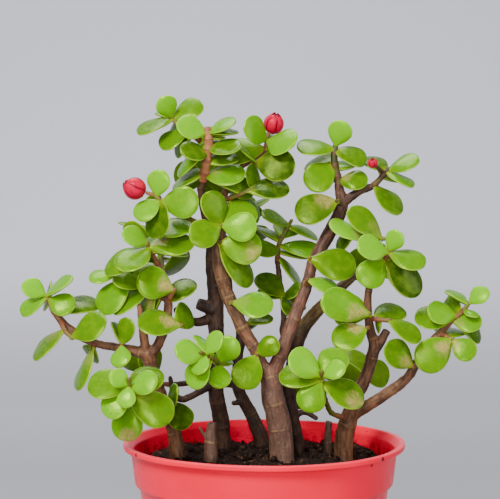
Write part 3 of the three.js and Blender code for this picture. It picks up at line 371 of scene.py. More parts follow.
        (0.96, 8, 10.5, -2, 25, 0.6), (0.93, -9, -8, 3, 8, 0.62), (0.88, 15, -6, 2, 42, 0.32, -0.6),
        (0.88, 10, 0, -5, 60, 0.2),
        tone=0.85,
    ),
    "shoot_back_crown": Shoot([(-21.7, 179, 0.5), (-21, 181, 12), (-19, 184, 22), (-17, 188, 27)], pairs=4),
    "shoot_back_left": Shoot([(-34.6, 141.5, 0), (-36, 150, 14), (-39, 161, 27), (-41, 165, 29)], pairs=4),
    "shoot_back_middle_high": Shoot([(-13, 151.5, 36), (-11, 160, 41), (-8, 170, 42)], pairs=4),
    "shoot_back_right": Shoot([(38, 151.5, 27), (38.5, 151, 36), (36, 152, 43)], pairs=4),
    "shoot_back_left_low": Shoot([(-32.5, 108, 40), (-39, 109, 43), (-41, 114, 46)], pairs=3),
    "shoot_back_right_low": Shoot([(36.2, 112.8, 33), (34.5, 112, 41), (32, 113, 47)], pairs=3),
    "shoot_back_fork": Shoot([(17.8, 112, 33.5), (16, 109.5, 40), (13.5, 109, 46)], pairs=3),
}

BUDS = {
    # middle (x, z, y), diameter, and the way it points
    "bud_top_left": ((-26.8, 204.3, 9), 5, (6, 3.5, 1)),
    "bud_left": ((-45.8, 177.8, -8), 8, (-6, 3.5, 1)),
    "bud_top_middle": ((3.4, 200.6, 9), 7.4, (1.5, 6, 2)),
    "bud_right": ((38.4, 186.8, 1.6), 3.6, (-1, 4, 3)),
}


# ---- Curves: centripetal Catmull-Rom splines, measured by arc length as three.js measures them ----
CURVE_DIVISIONS = 200
TANGENT_STEP = 1e-4


class Curve:
    """A smooth line through points, walked by its share of the line's length."""

    def __init__(self, points):
        self.points = [np.asarray(point, float) for point in points]
        steps = [self.at(i / CURVE_DIVISIONS) for i in range(CURVE_DIVISIONS + 1)]
        lengths = [0.0]
        for before, after in zip(steps, steps[1:]):
            lengths.append(lengths[-1] + distance(before, after))
        self.lengths = lengths

    @property
    def length(self):
        return self.lengths[-1]

    def at(self, t):
        points = self.points
        last = len(points) - 1
        place_on = last * t
        first = min(math.floor(place_on), last - 1)
        weight = place_on - first
        p1, p2 = points[first], points[first + 1]
        p0 = points[first - 1] if first > 0 else points[0] - points[1] + points[0]
        p3 = points[first + 2] if first + 2 <= last else points[last] - points[last - 1] + points[last]
        dt0, dt1, dt2 = (np.sum((b - a) ** 2) ** 0.25 for a, b in ((p0, p1), (p1, p2), (p2, p3)))
        dt1 = dt1 if dt1 >= 1e-4 else 1.0
        dt0 = dt0 if dt0 >= 1e-4 else dt1
        dt2 = dt2 if dt2 >= 1e-4 else dt1
        start = ((p1 - p0) / dt0 - (p2 - p0) / (dt0 + dt1) + (p2 - p1) / dt1) * dt1
        end = ((p2 - p1) / dt1 - (p3 - p1) / (dt1 + dt2) + (p3 - p2) / dt2) * dt1
        c2 = -3 * p1 + 3 * p2 - 2 * start - end
        c3 = 2 * p1 - 2 * p2 + start + end
        return p1 + start * weight + c2 * weight**2 + c3 * weight**3

    def parameter(self, share):
        target = share * self.length
        i = max(0, bisect.bisect_right(self.lengths, target) - 1)
        if self.lengths[i] == target:
            return i / CURVE_DIVISIONS
        part = (target - self.lengths[i]) / (self.lengths[i + 1] - self.lengths[i])
        return (i + part) / CURVE_DIVISIONS

    def point(self, share):
        return self.at(self.parameter(share))

    def tangent(self, share):
        t = self.parameter(share)
        return unit(self.at(min(1.0, t + TANGENT_STEP)) - self.at(max(0.0, t - TANGENT_STEP)))

    def radius(self, radii, share):
        along = self.parameter(share) * (len(radii) - 1)
        first = min(math.floor(along), len(radii) - 2)
        return radii[first] + (radii[first + 1] - radii[first]) * (along - first)


def distance(a, b):
    return math.sqrt(np.sum((b - a) ** 2))


def unit(vector):
    return vector / math.sqrt(np.sum(vector**2))


def spread(y):
    """How much larger things at a depth really are than the elevation draws them."""
    return 1 - y / EYE[1]


def place(point):
    """The real place of a point of the elevation."""
    x, z, y = point[:3]
    s = spread(y)
    return np.array((EYE[0] + (x - EYE[0]) * s, y, EYE[2] + (z - EYE[2]) * s))


# ---- Where the leaves sit: the same rule and the same seeded draws as in the solids ----
class Draws:
    """Repeatable draws from one seed."""

    def __init__(self, seed):
        self.seed = seed

    def __call__(self, low, high):
        self.seed = (self.seed * 1664525 + 1013904223) % 4294967296
        return low + ((high - low) * self.seed) / 4294967296


class Leaf:
    """A blade that starts at its foot and faces up, with its shoot, its tone, its corky patch (near the foot,
    or near the tip where it is below nought) and whether it is out of the front's sight."""

    def __init__(self, foot, length, along, up, *facts):
        self.foot, self.length, self.along, self.up = foot, length, along, up
        self.across = np.cross(up, along)
        self.facts = facts
        self.shoot, self.tone, self.blotch, self.hidden = facts
        self.middle = self.points(0.5, 0.0)
        self.probes = self.points(PROBE_A, PROBE_SHARE * half_width(PROBE_A, length))

    def points(self, a, c, off=0.0):
        a, c, off = np.broadcast_arrays(np.asarray(a, float), c, off)
        scaled = (a * self.length)[..., None] * self.along + (c * self.length)[..., None] * self.across
        return self.foot + scaled + (sag(a, c) * self.length + off)[..., None] * self.up


def leaf_from(foot, reach, turn, *facts):
    length = math.sqrt(np.sum(reach**2))
    along = reach / length
    front = np.array((0, -1, 0.02))
    front = unit(front - along * np.dot(front, along))
    side = np.cross(along, front)
    if side[2] < 0:
        side = -side
    angle = math.radians(turn)
    return Leaf(foot, length, along, front * math.cos(angle) + side * math.sin(angle), *facts)


def slimness(length):
    """How much narrower a blade is for its length than a short one."""
    return min(1.0, BROADEST / (2 * OUTLINE[2][1] * length))


def half_width(share, length):
    """Half a blade's width at a share of its length, as a share of its length."""
    ends, widths = zip(*OUTLINE)
    return np.interp(share, ends, widths) * slimness(length)


def sag(a, c):
    """How far the blade's middle surface lies off its flat plane, with a and c as shares of the length."""
    return CURL * a * a + CUP * c * c


def half_thickness(share):
    return MIDDLE_THICKNESS + (EDGE_THICKNESS - MIDDLE_THICKNESS) * np.minimum(1, np.abs(share))


PROBE_A = np.repeat(PROBES_ALONG, len(PROBES_ACROSS))
PROBE_SHARE = np.tile(PROBES_ACROSS, len(PROBES_ALONG))
PROBE_THICKNESS = half_thickness(PROBE_SHARE)


def touches(leaf, points, thicknesses):
    """Which of the points, each with half a thickness of its own, touch the leaf."""
    offset = points - leaf.foot
    a = offset @ leaf.along / leaf.length
    c = offset @ leaf.across / leaf.length
    margin = (CLEARANCE + thicknesses) / leaf.length
    wide = half_width(np.clip(a, 0, 1), leaf.length)
    off = offset @ leaf.up - sag(a, c) * leaf.length
    half = half_thickness(np.divide(c, wide, out=np.ones_like(c), where=wide > 0))
    inside = (a >= -margin) & (a <= 1 + margin) & (np.abs(c) <= wide + margin)
    return inside & (np.abs(off) < half + thicknesses + CLEARANCE)


def beside(leaf, other, points):
    """Which points of a leaf are so close to its foot that they may touch another leaf of the same shoot."""
    if leaf.shoot != other.shoot:
        return np.zeros(len(points), bool)
    return np.linalg.norm(points - leaf.foot, axis=1) < FREE_FOOT


def is_clear(leaf, others, beads):
    """Whether a leaf keeps off the stems and twigs, the pot and the leaves placed before it."""
    bead_points, bead_radii, bead_shoots = beads
    points = leaf.probes
    round_here = np.linalg.norm(bead_points - leaf.middle, axis=1) < leaf.length
    own = bead_shoots == leaf.shoot
    round_here &= ~own | (np.linalg.norm(bead_points - leaf.foot, axis=1) > FREE_FOOT)
    if round_here.any():
        gaps = np.linalg.norm(bead_points[round_here][None] - points[:, None], axis=2)
        if (gaps < bead_radii[round_here][None] + PROBE_THICKNESS[:, None] + CLEARANCE).any():
            return False
    from_axis = np.hypot(points[:, 0], points[:, 1])
    if ((points[:, 2] < POT_HEIGHT + POT_CLEARANCE) & (from_axis < RIM_RADIUS + POT_CLEARANCE)).any():
        return False
    for other in others:
        if distance(other.middle, leaf.middle) >= (leaf.length + other.length) * REACH:
            continue
        if (touches(other, points, PROBE_THICKNESS) & ~beside(leaf, other, points)).any():
            return False
        if (touches(leaf, other.probes, PROBE_THICKNESS) & ~beside(other, leaf, other.probes)).any():
            return False
    return True


def turned(leaf, attempt, size):
    """The leaf turned aside, a little more with every ring of tries."""
    if attempt == 0 and size == 1:
        return leaf
    ring = math.ceil(attempt / TRIES_A_RING)
    compass = attempt * 2 * math.pi / TRIES_A_RING
    aside = math.tan(ring * TRY_ANGLE)
    lean = leaf.up * (aside * math.cos(compass))
    along = unit(leaf.along + lean + leaf.across * (aside * math.sin(compass)))
    up = unit(leaf.up - along * np.dot(leaf.up, along))
    return Leaf(leaf.foot, leaf.length * size, along, up, *leaf.facts)


def settled(leaf, others, beads):
    """The first turn and size at which a leaf is clear of all that is placed before it, or nothing."""
    for size in SIZES:
        for attempt in range(TRIES + 1):
            tried = turned(leaf, attempt, size)
            if is_clear(tried, others, beads):
                return tried
    return None


def front_leaf(name, shoot, line, share, right, up, forward, turn, tone=None, blotch=0.0):
    foot = line.point(share * TIP_SHARE)
    s = spread(foot[1])
    reach = np.array((right * s, -forward, up * s))
    return leaf_from(foot, reach, turn, name, shoot.tone if tone is None else tone, blotch, False)


def front_leaves(name, shoot, line, draws):
    """The leaves that the photo shows, which need no draws."""
    return [front_leaf(name, shoot, line, *row) for row in shoot.leaves]


def leaves_behind(name, shoot, line, draws):
    """Leaves behind the end of a shoot."""
    leaves = []
    for i in range(shoot.behind):
        foot = line.point(TIP_SHARE * (0.6 + (0.4 * i) / shoot.behind))
        reach = np.array((draws(-7, 7), draws(9, 13), draws(-4, 8)))
        leaves.append(leaf_from(foot, reach, draws(-30, 30), name, min(shoot.tone, BACK_TONE), 0.0, True))
    return leaves


def paired_leaves(name, shoot, line, draws):
    """Pairs along a shoot at the back, each turned a quarter from the one before."""
    leaves = []
    for pair in range(shoot.pairs):
        share = TIP_SHARE * (0.4 + (0.6 * pair) / (shoot.pairs - 1))
        foot, axis = line.point(share), line.tangent(share)
        first = unit(np.cross(axis, (0, 0, 1)))
        second = np.cross(axis, first)
        for side in (0, math.pi):
            roll = side + (pair * math.pi) / 2 + draws(-0.25, 0.25)
            tilt = draws(0.8, 1.25) - 0.4 * share
            outward = first * math.cos(roll) + second * math.sin(roll)
            along = outward * math.sin(tilt) + axis * math.cos(tilt)
            up = unit(axis - along * np.dot(axis, along))
            leaves.append(Leaf(foot, draws(11.5, 15.5), along, up, name, BACK_TONE, 0.0, True))
    return leaves


def beads_along(line, radii, shoot):
    """Points along a limb that leaves keep clear of."""
    count = math.ceil(line.length / 2)
    return [(line.point(i / count), line.radius(radii, i / count), shoot) for i in range(count + 1)]


def stalk_ends(shoot, line):
    """A stalk ends short of its bud by the gap between pieces."""
    share, name = shoot.stalk
    at, diameter, _ = BUDS[name]
    foot, end = line.point(share), place(at)
    short = diameter / 2 * (1 + PETAL_RELIEF) + GAP
    return foot, foot + (end - foot) * (1 - short / distance(foot, end))


def place_leaves():
    """Every leaf that finds room: the front ones first, then those that the draws place."""
    beads = []
    for _, *limbs in STEMS.values():
        for points in limbs:
            beads += beads_along(Curve([place(p) for p in points]), [p[3] for p in points], "")
    beads += [(place(at), diameter / 2 + 0.5, "") for at, diameter, _ in BUDS.values()]
    for name, shoot in SHOOTS.items():
        beads += beads_along(LINES[name], shoot.radii, name)
        if shoot.stalk:
            beads += beads_along(Curve(stalk_ends(shoot, LINES[name])), [STALK_RADIUS] * 2, name)
    points, radii, shoots = zip(*beads)
    beads = np.array(points), np.array(radii), np.array(shoots)
    draws = Draws(SEED)
    placed = []
    for kind in (front_leaves, leaves_behind, paired_leaves):
        for name, shoot in SHOOTS.items():
            for asked in kind(name, shoot, LINES[name], draws):
                leaf = settled(asked, placed, beads)
                if leaf:
                    placed.append(leaf)
    return placed


LINES = {name: Curve([place(p) for p in shoot.twig]) for name, shoot in SHOOTS.items()}
LEAVES = place_leaves()


# ---- Meshes ----
def mesh_from(name, vertices, quads, triangles=()):
    """A smooth closed mesh in metres from corners in millimetres."""
    vertices = np.asarray(vertices, float).reshape(-1, 3)
    quads = np.asarray(quads, np.int32).reshape(-1, 4)
    triangles = np.asarray(triangles, np.int32).reshape(-1, 3)
    halves = np.concatenate((quads[:, :3], quads[:, [0, 2, 3]], triangles))
    a, b, c = (vertices[halves[:, i]] for i in range(3))
    if np.einsum("ij,ij->", a, np.cross(b, c)) < 0:
        quads, triangles = quads[:, ::-1], triangles[:, ::-1]
    mesh = bpy.data.meshes.new(name)
    mesh.vertices.add(len(vertices))
    mesh.vertices.foreach_set("co", (vertices * MM).astype(np.float32).ravel())
    corners = np.concatenate((quads.ravel(), triangles.ravel()))
    mesh.loops.add(len(corners))
    mesh.loops.foreach_set("vertex_index", corners)
    starts = np.concatenate((np.arange(len(quads)) * 4, len(quads) * 4 + np.arange(len(triangles)) * 3))
    mesh.polygons.add(len(starts))
    mesh.polygons.foreach_set("loop_start", starts.astype(np.int32))
    mesh.update(calc_edges=True)
    mesh.shade_smooth()
    return mesh


def add_vectors(mesh, name, values):
    """Three numbers for each corner, which the materials read."""
    attribute = mesh.attributes.new(name, "FLOAT_VECTOR", "POINT")
    attribute.data.foreach_set("vector", np.asarray(values, np.float32).ravel())


def added(name, data):
    """A new object in the scene."""
    made = bpy.data.objects.new(name, data)
    bpy.context.scene.collection.objects.link(made)
    return made


def show(name, mesh, material, slot, *nodes):
    """The mesh as a piece of the looks that stands for CAD nodes."""
    mesh.materials.clear()
    mesh.materials.append(material)
    piece = added(name, mesh)
    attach(piece, "root")
    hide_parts(*nodes)


def modified(mesh, *modifiers):
    """The mesh after some modifiers, each as its kind and its settings."""
    draft = added("draft", mesh)
    for kind, settings in modifiers:
        modifier = draft.modifiers.new(kind, kind)
        for key, value in settings.items():
            setattr(modifier, key, value)
    evaluated = draft.evaluated_get(bpy.context.evaluated_depsgraph_get())
    result = bpy.data.meshes.new_from_object(evaluated)
    bpy.data.objects.remove(draft)
    return result


def read(items, key):
    """Three numbers for each corner of a mesh."""
    found = np.empty(len(items) * 3, np.float32)
    items.foreach_get(key, found)
    return found.reshape(-1, 3).astype(float)


def ripples(points, scale, octaves=3):
    """Fractal noise at points, from about -1 to 1, with lumps about a scale across."""
    return np.array([noise.fractal(Vector(p), 1.0, 2.0, octaves) for p in (points / scale).tolist()])


def grid_quads(rows, columns, first=0):
    """The faces of rings of corners, each ring joined to the next."""
    row, column = np.meshgrid(np.arange(rows - 1), np.arange(columns), indexing="ij")
    after = (column + 1) % columns
    here, above = row * columns, (row + 1) * columns
    faces = (here + column, here + after, above + after, above + column)
    return first + np.stack(faces, -1).reshape(-1, 4)


def fan(ring, centre):
    return [(ring[i], ring[(i + 1) % len(ring)], centre) for i in range(len(ring))]


def closed(rings, ends, first=0):
    """The corners, quads and triangles of a closed body through rings and a middle point at either end."""
    rows, columns = rings.shape[:2]
    count = rows * columns
    low = fan(range(first + columns - 1, first - 1, -1), first + count)
    high = fan(range(first + count - columns, first + count), first + count + 1)
    return np.concatenate((rings.reshape(-1, 3), ends)), grid_quads(rows, columns, first), low + high


def circle(count):
    """The cosines and sines of so many even steps of a turn."""
    turns = np.arange(count) * 2 * math.pi / count
    return np.cos(turns), np.sin(turns)


# ---- Leaves ----
LEAF_ROWS = 22
LEAF_COLUMNS = 20
ROOT = 0.05  # how far a leaf's foot is sunk into the twig, as a share of its length
SHOULDER = 0.62  # where a leaf is widest
HALF_WIDTH = 0.425  # there, as a share of its length
STALK_WIDTH = 0.055  # half a stalk's width, as such a share
CUPPING = 1.5  # mm between the most cupped blade and the most swollen one, for a leaf of 16 mm
RIM_ROUND = 0.55  # mm from the tip in which a blade's edge is rounded


def leaf_grid(leaf, tone, chance, dice):
    """A leaf's rings of corners from foot to tip, and for each corner its place on the blade."""
    t = np.linspace(0, 1, LEAF_ROWS + 1)[:-1, None]
    a = -ROOT + (1 + ROOT) * np.sin(t * math.pi / 2)
    across, top = (part[None] for part in circle(LEAF_COLUMNS))
    lower = np.clip(1 - ((SHOULDER - a) / SHOULDER) ** 2, 0, 1) ** (0.78 + 0.4 * tone)
    upper = np.sqrt(np.clip(1 - ((a - SHOULDER) / (1 - SHOULDER)) ** 2, 0, 1))
    wide = HALF_WIDTH * slimness(leaf.length) * np.where(a < SHOULDER, lower, upper)
    wide = np.where(a < SHOULDER, (wide**3 + STALK_WIDTH**3) ** (1 / 3), wide)
    body = np.sin(math.pi * np.clip(a, 0.02, 1) ** 0.9) ** 0.6
    thick = EDGE_THICKNESS + 0.06 + (MIDDLE_THICKNESS - EDGE_THICKNESS) * (1 - across**2) ** 0.9 * body
    to_tip = np.clip((1 - a) * leaf.length / RIM_ROUND, 0, 1)
    thick = thick * np.sqrt(1 - (1 - to_tip) ** 2)
    off = thick * np.sign(top) * np.abs(top) ** 0.62
    off = off - 0.16 * np.exp(-((across / 0.16) ** 2)) * np.clip(1 - a, 0, 1) * (top > 0.5)
    phase, lean, wave, bend = dice.uniform(-1, 1, 4)
    off = off + 0.16 * across**2 * np.sin(7 * a + 3 * phase + 2 * np.sign(across)) * np.clip(a * 2, 0, 1)
    c = wide * across + 0.02 * lean * np.sin(math.pi * a) + 0.012 * wave * np.sin(9 * a) * across
    off = off + 0.012 * leaf.length * bend * (a**2) * across
    cupping = CUPPING * (chance - 0.6) * leaf.length / 16
    off = off + cupping * across**2 * np.sin(math.pi * np.clip(a, 0, 1) ** 0.7)
    return leaf.points(a + 0 * c, c, off), np.stack(np.broadcast_arrays(a, across, top), -1)


def tone_of(leaf, dice):
    dulled = leaf.tone + 0.1 * dice.uniform() if leaf.hidden else leaf.tone
    return dulled + 0.05 * dice.uniform(-1, 1)


def shoot_leaves(name, leaves):
    corners, blades, kinds, quads, triangles = [], [], [], [], []
    for leaf in leaves:
        seed = abs(int(leaf.foot[0] * 997 + leaf.along[2] * 1009 + leaf.length * 1013))
        dice = np.random.default_rng(seed)
        tone = tone_of(leaf, dice)
        chance = dice.uniform()
        rings, blade = leaf_grid(leaf, tone, chance, dice)
        ends = leaf.points(np.array((-ROOT, 1.0)), 0.0)
        points, sides, caps = closed(rings, ends, sum(len(part) for part in corners))
        corners.append(points)
        quads.append(sides)
        triangles += caps
        blades.append(np.concatenate((blade.reshape(-1, 3), ((-ROOT, 0, 0), (1, 0, 0)))))
        kinds.append(np.tile((tone, leaf.blotch, chance), (len(points), 1)))
    mesh = mesh_from("leaves_" + name, np.concatenate(corners), np.concatenate(quads), triangles)
    add_vectors(mesh, "blade", np.concatenate(blades))
    add_vectors(mesh, "kind", np.concatenate(kinds))
    return mesh


# ---- Wood ----
WOOD_SIDES = 16
WOOD_STEP = 0.7  # mm between rings of a limb's draft
KNOT_WIDTH = 0.8
KNOTS = 60  # more than any limb has room for
CUT_DEPTH = 0.45  # how far a sawn end's colour reaches round its edge
BATCH = 20000  # points measured at once
STEM_VOXEL, TWIG_VOXEL = 0.34, 0.22
STEM_RELIEF, TWIG_RELIEF = 0.2, 0.06


class Limb:
    """A round limb with its growth rings, and the frame along it."""

    def __init__(self, line, radii, dice, cut=False, knot_gap=(6, 17), knot_height=0.1):
        self.cut = cut
        count = max(6, math.ceil(line.length / WOOD_STEP))
        shares = np.linspace(0, 1, count + 1)
        self.points = np.array([line.point(s) for s in shares])
        self.tangents = np.array([line.tangent(s) for s in shares])
        self.along = shares * line.length
        self.radii = np.array([line.radius(radii, s) for s in shares])
        self.knots = np.cumsum(dice.uniform(*knot_gap, KNOTS)) - knot_gap[0] * dice.uniform()
        near = np.abs(self.along[:, None] - self.knots[None]).min(axis=1)
        self.knotted = np.exp(-((near / KNOT_WIDTH) ** 2))
        self.shown = self.radii * (1 + knot_height * self.knotted * np.minimum(1, 1.5 / self.radii))
        normal = unit(np.cross(self.tangents[0], (0.3, 0.9, 0.1)))
        self.normals = []
        for tangent in self.tangents:
            normal = unit(normal - tangent * np.dot(normal, tangent))
            self.normals.append(normal)
        self.normals = np.array(self.normals)
        self.sides = np.cross(self.tangents, self.normals)

    def rings(self):
        """The limb's rings of corners, with a round end unless it is cut."""
        right, up = (part[None, :, None] for part in circle(WOOD_SIDES))
        outward = right * self.normals[:, None] + up * self.sides[:, None]
        rings = self.points[:, None] + outward * self.shown[:, None, None]
        if self.cut:
            return rings
        end, on, radius = self.points[-1], self.tangents[-1], self.radii[-1]
        dome = ((0.38, 0.92), (0.7, 0.7), (0.9, 0.4))
        caps = [end + on * (radius * rise) + outward[-1] * (radius * reach) for rise, reach in dome]
        return np.concatenate((rings, np.array(caps)))


def wood_mesh(name, limbs, voxel, relief, youth, age):
    """Limbs fused into one skin with bark relief."""
    corners, quads, triangles = [], [], []
    first = 0
    for limb in limbs:
        rings = limb.rings()
        points, sides, caps = closed(rings, (rings[0].mean(axis=0), rings[-1].mean(axis=0)), first)
        corners.append(points)
        quads.append(sides)
        triangles += caps
        first += len(points)
    draft = mesh_from("draft", np.concatenate(corners) / MM, np.concatenate(quads), triangles)
    smooth = ("SMOOTH", {"iterations": 5, "factor": 0.5})
    skin = modified(draft, ("REMESH", {"mode": "VOXEL", "voxel_size": voxel}), smooth)
    points, normals = read(skin.vertices, "co"), read(skin.vertex_normals, "vector")
    which, sample = nearest_limb(points, limbs)
    bark, skins = np.zeros((len(points), 3)), np.zeros((len(points), 3))
    for i, limb in enumerate(limbs):
        mine = which == i
        at = sample[mine]
        offset = points[mine] - limb.points[at]
        side, normal, ahead = (
            np.einsum("ij,ij->i", offset, axes[at]) for axes in (limb.sides, limb.normals, limb.tangents)
        )
        angle = np.arctan2(side, normal)
        run = limb.along[at] + ahead
        bark[mine] = np.stack((run, angle * limb.radii[at].mean(), limb.knotted[at]), -1)
        past = (points[mine] - limb.points[-1]) @ limb.tangents[-1]
        cut = (past > -CUT_DEPTH) & limb.cut
        young = np.clip(youth(points[mine], limb.radii[at]), 0, 1)
        skins[mine] = np.stack((young, cut, age(i, points[mine])), -1)
    lumps = ripples(points * (1, 1, 0.6), 3.0) + 0.5 * ripples(points * (1, 1, 0.35) + 40, 0.9, 2)
    points = points + normals * (relief * lumps)[:, None]
    skin.vertices.foreach_set("co", (points * MM).astype(np.float32).ravel())
    skin.name = name
    skin.update()
    skin.shade_smooth()
    add_vectors(skin, "bark", bark)
    add_vectors(skin, "skin", skins)
    return skin


def nearest_limb(points, limbs):
    """For every point the limb whose skin it lies on, and the sample of that limb nearest to it."""
    best = np.full(len(points), np.inf)
    which, sample = np.zeros(len(points), int), np.zeros(len(points), int)
    for i, limb in enumerate(limbs):
        for start in range(0, len(points), BATCH):
            part = slice(start, start + BATCH)
            gaps = np.linalg.norm(points[part, None] - limb.points[None], axis=2)
            found = gaps.argmin(axis=1)
            off = np.abs(gaps[np.arange(len(found)), found] - limb.shown[found])
            closer = off < best[part]
            best[part] = np.where(closer, off, best[part])
            which[part] = np.where(closer, i, which[part])
            sample[part] = np.where(closer, found, sample[part])
    return which, sample


CUT_LIMBS = {("stub_cut", 0), ("stump_dark", 0), ("stem_dark", 1), ("stem_right", 1)}

# The heights between which a limb grows dark, or pale and olive where the last figure is below nought
AGES = {
    ("trunk", 1): (112, 135, -0.5),
    ("trunk", 2): (128, 168, 1.0),
    ("trunk", 3): (150, 160, 1.0),
    ("stem_middle", 0): (118, 134, -0.9),
    ("stem_middle", 1): (128, 140, 0.3),
    ("stem_right", 0): (84, 110, 0.45),
    ("stem_right", 1): (100, 118, 0.9),
}


def stem_mesh(name, limbs):
    dice = np.random.default_rng(len(name) * 31 + len(limbs))
    made = []
    for i, points in enumerate(limbs):
        line, radii = [place(p) for p in points], [p[3] for p in points]
        if i == 0:
            line.insert(0, np.array((line[0][0], line[0][1], FOOT_LEVEL)))
            radii.insert(0, radii[0])
        made.append(Limb(Curve(line), radii, dice, (name, i) in CUT_LIMBS))

    def youth(points, radii):
        return (2.3 - radii) / 1.2 + (points[:, 2] - 165) / 60

    def age(limb, points):
        low, high, reach = AGES.get((name, limb), (0, 1, 0))
        return reach * np.clip((points[:, 2] - low) / (high - low), 0, 1)

    return wood_mesh(name + "_wood", made, STEM_VOXEL, STEM_RELIEF, youth, age)


# How tan and warm the twigs are, or how dark where it is below nought; the others are brown and olive
WARM_TWIGS = {
    "shoot_top": 1.0, "shoot_top_left": 0.3, "shoot_top_middle": 0.1, "shoot_left_stem": 0.6,
    "shoot_left_high": 0.3, "shoot_right_top": -1.0, "shoot_right_crown": -1.0, "shoot_right_high": -1.0,
}


def twig_mesh(name, shoot):
    dice = np.random.default_rng(len(name) * 17 + len(shoot.twig))
    made = [Limb(LINES[name], shoot.radii, dice, False, (3, 5), 0.18)]
    if shoot.stalk:
        made.append(Limb(Curve(stalk_ends(shoot, LINES[name])), [STALK_RADIUS] * 2, dice, False, (30, 40), 0))

    def youth(points, radii):
        return np.ones(len(radii))

    def warmth(limb, points):
        return np.full(len(points), WARM_TWIGS.get(name, 0.0))

    return wood_mesh("twig_" + name, made, TWIG_VOXEL, TWIG_RELIEF, youth, warmth)


# ---- Buds ----
PETALS = 6
PETAL_ROWS, PETAL_COLUMNS = 20, 14
PETAL_THICKNESS = 0.3
PETAL_FOOT, PETAL_TIP = math.radians(168), math.radians(13)  # from the bud's axis
PETAL_SPAN = math.radians(52)  # half of what a petal covers of the way round
CORE_ROWS, CORE_COLUMNS = 12, 20
CORE_SHARE = 0.9


def petal(radius, around, dice):
    """One lapping petal of a closed bud: a curved shell from the stalk to a free tip."""
    v = np.linspace(0, 1, PETAL_ROWS)[:, None]
    u = np.linspace(-1, 1, PETAL_COLUMNS)[None]
    polar = PETAL_FOOT * (1 - v) ** 1.05 + PETAL_TIP * v
    wide = PETAL_SPAN * np.sin(math.pi * (0.12 + 0.8 * v**0.8)) ** 0.7
    angle = around + u * wide / np.maximum(0.55, np.sin(polar))
    free = np.clip((v - 0.72) / 0.28, 0, 1)
    tip = 1 - 0.3 * np.abs(u) ** 2.2 * free
    out = radius * (0.95 + 0.045 * u + 0.03 * (1 - u**2) + 0.12 * free**2)
    out = out + 0.08 * radius * dice.uniform(-1, 1) * free
    along = np.cos(polar) * out * np.where(v > 0.5, tip, 1)
    ring = np.sin(polar) * out
    outer = np.stack((ring * np.cos(angle), ring * np.sin(angle), along + 0 * angle), -1)
    inner = outer * (1 - PETAL_THICKNESS / radius)
    shade = np.stack(np.broadcast_arrays(v, u, 0.0), -1)
    return outer, inner, shade


def bud_mesh(name, at, diameter, reach):
    dice = np.random.default_rng(int(diameter * 100))
    radius = diameter / 2
    corners, shades, quads = [], [], []
    first = 0
    rows, columns, ring = PETAL_ROWS, PETAL_COLUMNS, 2 * PETAL_COLUMNS
    for i in range(PETALS):
        around = 2 * math.pi * i / PETALS + 0.12 * dice.uniform(-1, 1)
        outer, inner, shade = petal(radius, around, dice)
        loop = np.concatenate((outer, inner[:, ::-1]), axis=1)
        corners.append(loop.reshape(-1, 3))
        shades.append(np.concatenate((shade, shade[:, ::-1]), axis=1).reshape(-1, 3))
        quads.append(grid_quads(rows, ring, first))
        for start in (first, first + (rows - 1) * ring):
            ends = [
                (start + k, start + k + 1, start + ring - 2 - k, start + ring - 1 - k)
                for k in range(columns - 1)
            ]
            quads.append(np.array([end[::-1] for end in ends] if start == first else ends))
        first += rows * ring
    polar = np.linspace(0.02, math.pi - 0.02, CORE_ROWS)[:, None]
    right, up = circle(CORE_COLUMNS)
    inside = CORE_SHARE * radius
    core = inside * np.stack((np.sin(polar) * right, np.sin(polar) * up, np.cos(polar) + 0 * up), -1)
    points, sides, triangles = closed(core[::-1], ((0, 0, -inside), (0, 0, inside)), first)
    corners.append(points)
    quads.append(sides)
    shades.append(np.tile((0.6, 0, 0.5), (len(points), 1)))
    points = np.concatenate(corners)
    outward = unit(np.array((reach[0], -reach[2], reach[1]), float))
    turned_up = np.array(Vector((0, 0, 1)).rotation_difference(Vector(outward)).to_matrix())
    mesh = mesh_from(name + "_petals", points @ turned_up.T + place(at), np.concatenate(quads), triangles)
    add_vectors(mesh, "petal", np.concatenate(shades))
    return mesh


# ---- Pot ----
POT_COLUMNS = 160
ARC = 6  # steps in a rounded corner
LONGEST_STEP = 3
HOLE_SIDES = 32
CUT_BEYOND = 3  # how far the cutters reach past the floor


def rounded(profile):
    """A profile of (radius, height, rounding) with its corners rounded, in short steps."""
    points = [np.array(p[:2], float) for p in profile]
    dense = [points[0]]
    for i in range(1, len(points) - 1):
        before, here, after = points[i - 1], points[i], points[i + 1]
        back, on = unit(before - here), unit(after - here)
        half = math.acos(max(-1, min(1, float(back @ on)))) / 2
        most = 0.49 * min(distance(before, here), distance(here, after))
        reach = min(profile[i][2] / math.tan(half), most)
        start, end = here + back * reach, here + on * reach
        for t in np.linspace(0, 1, ARC):
            dense.append(start * (1 - t) ** 2 + here * 2 * t * (1 - t) + end * t**2)
    dense.append(points[-1])
    stepped = [dense[0]]
    for point in dense[1:]:
        count = max(1, math.ceil(distance(stepped[-1], point) / LONGEST_STEP))
        last = stepped[-1]
        stepped += [last + (point - last) * k / count for k in range(1, count + 1)]
    return np.array(stepped)


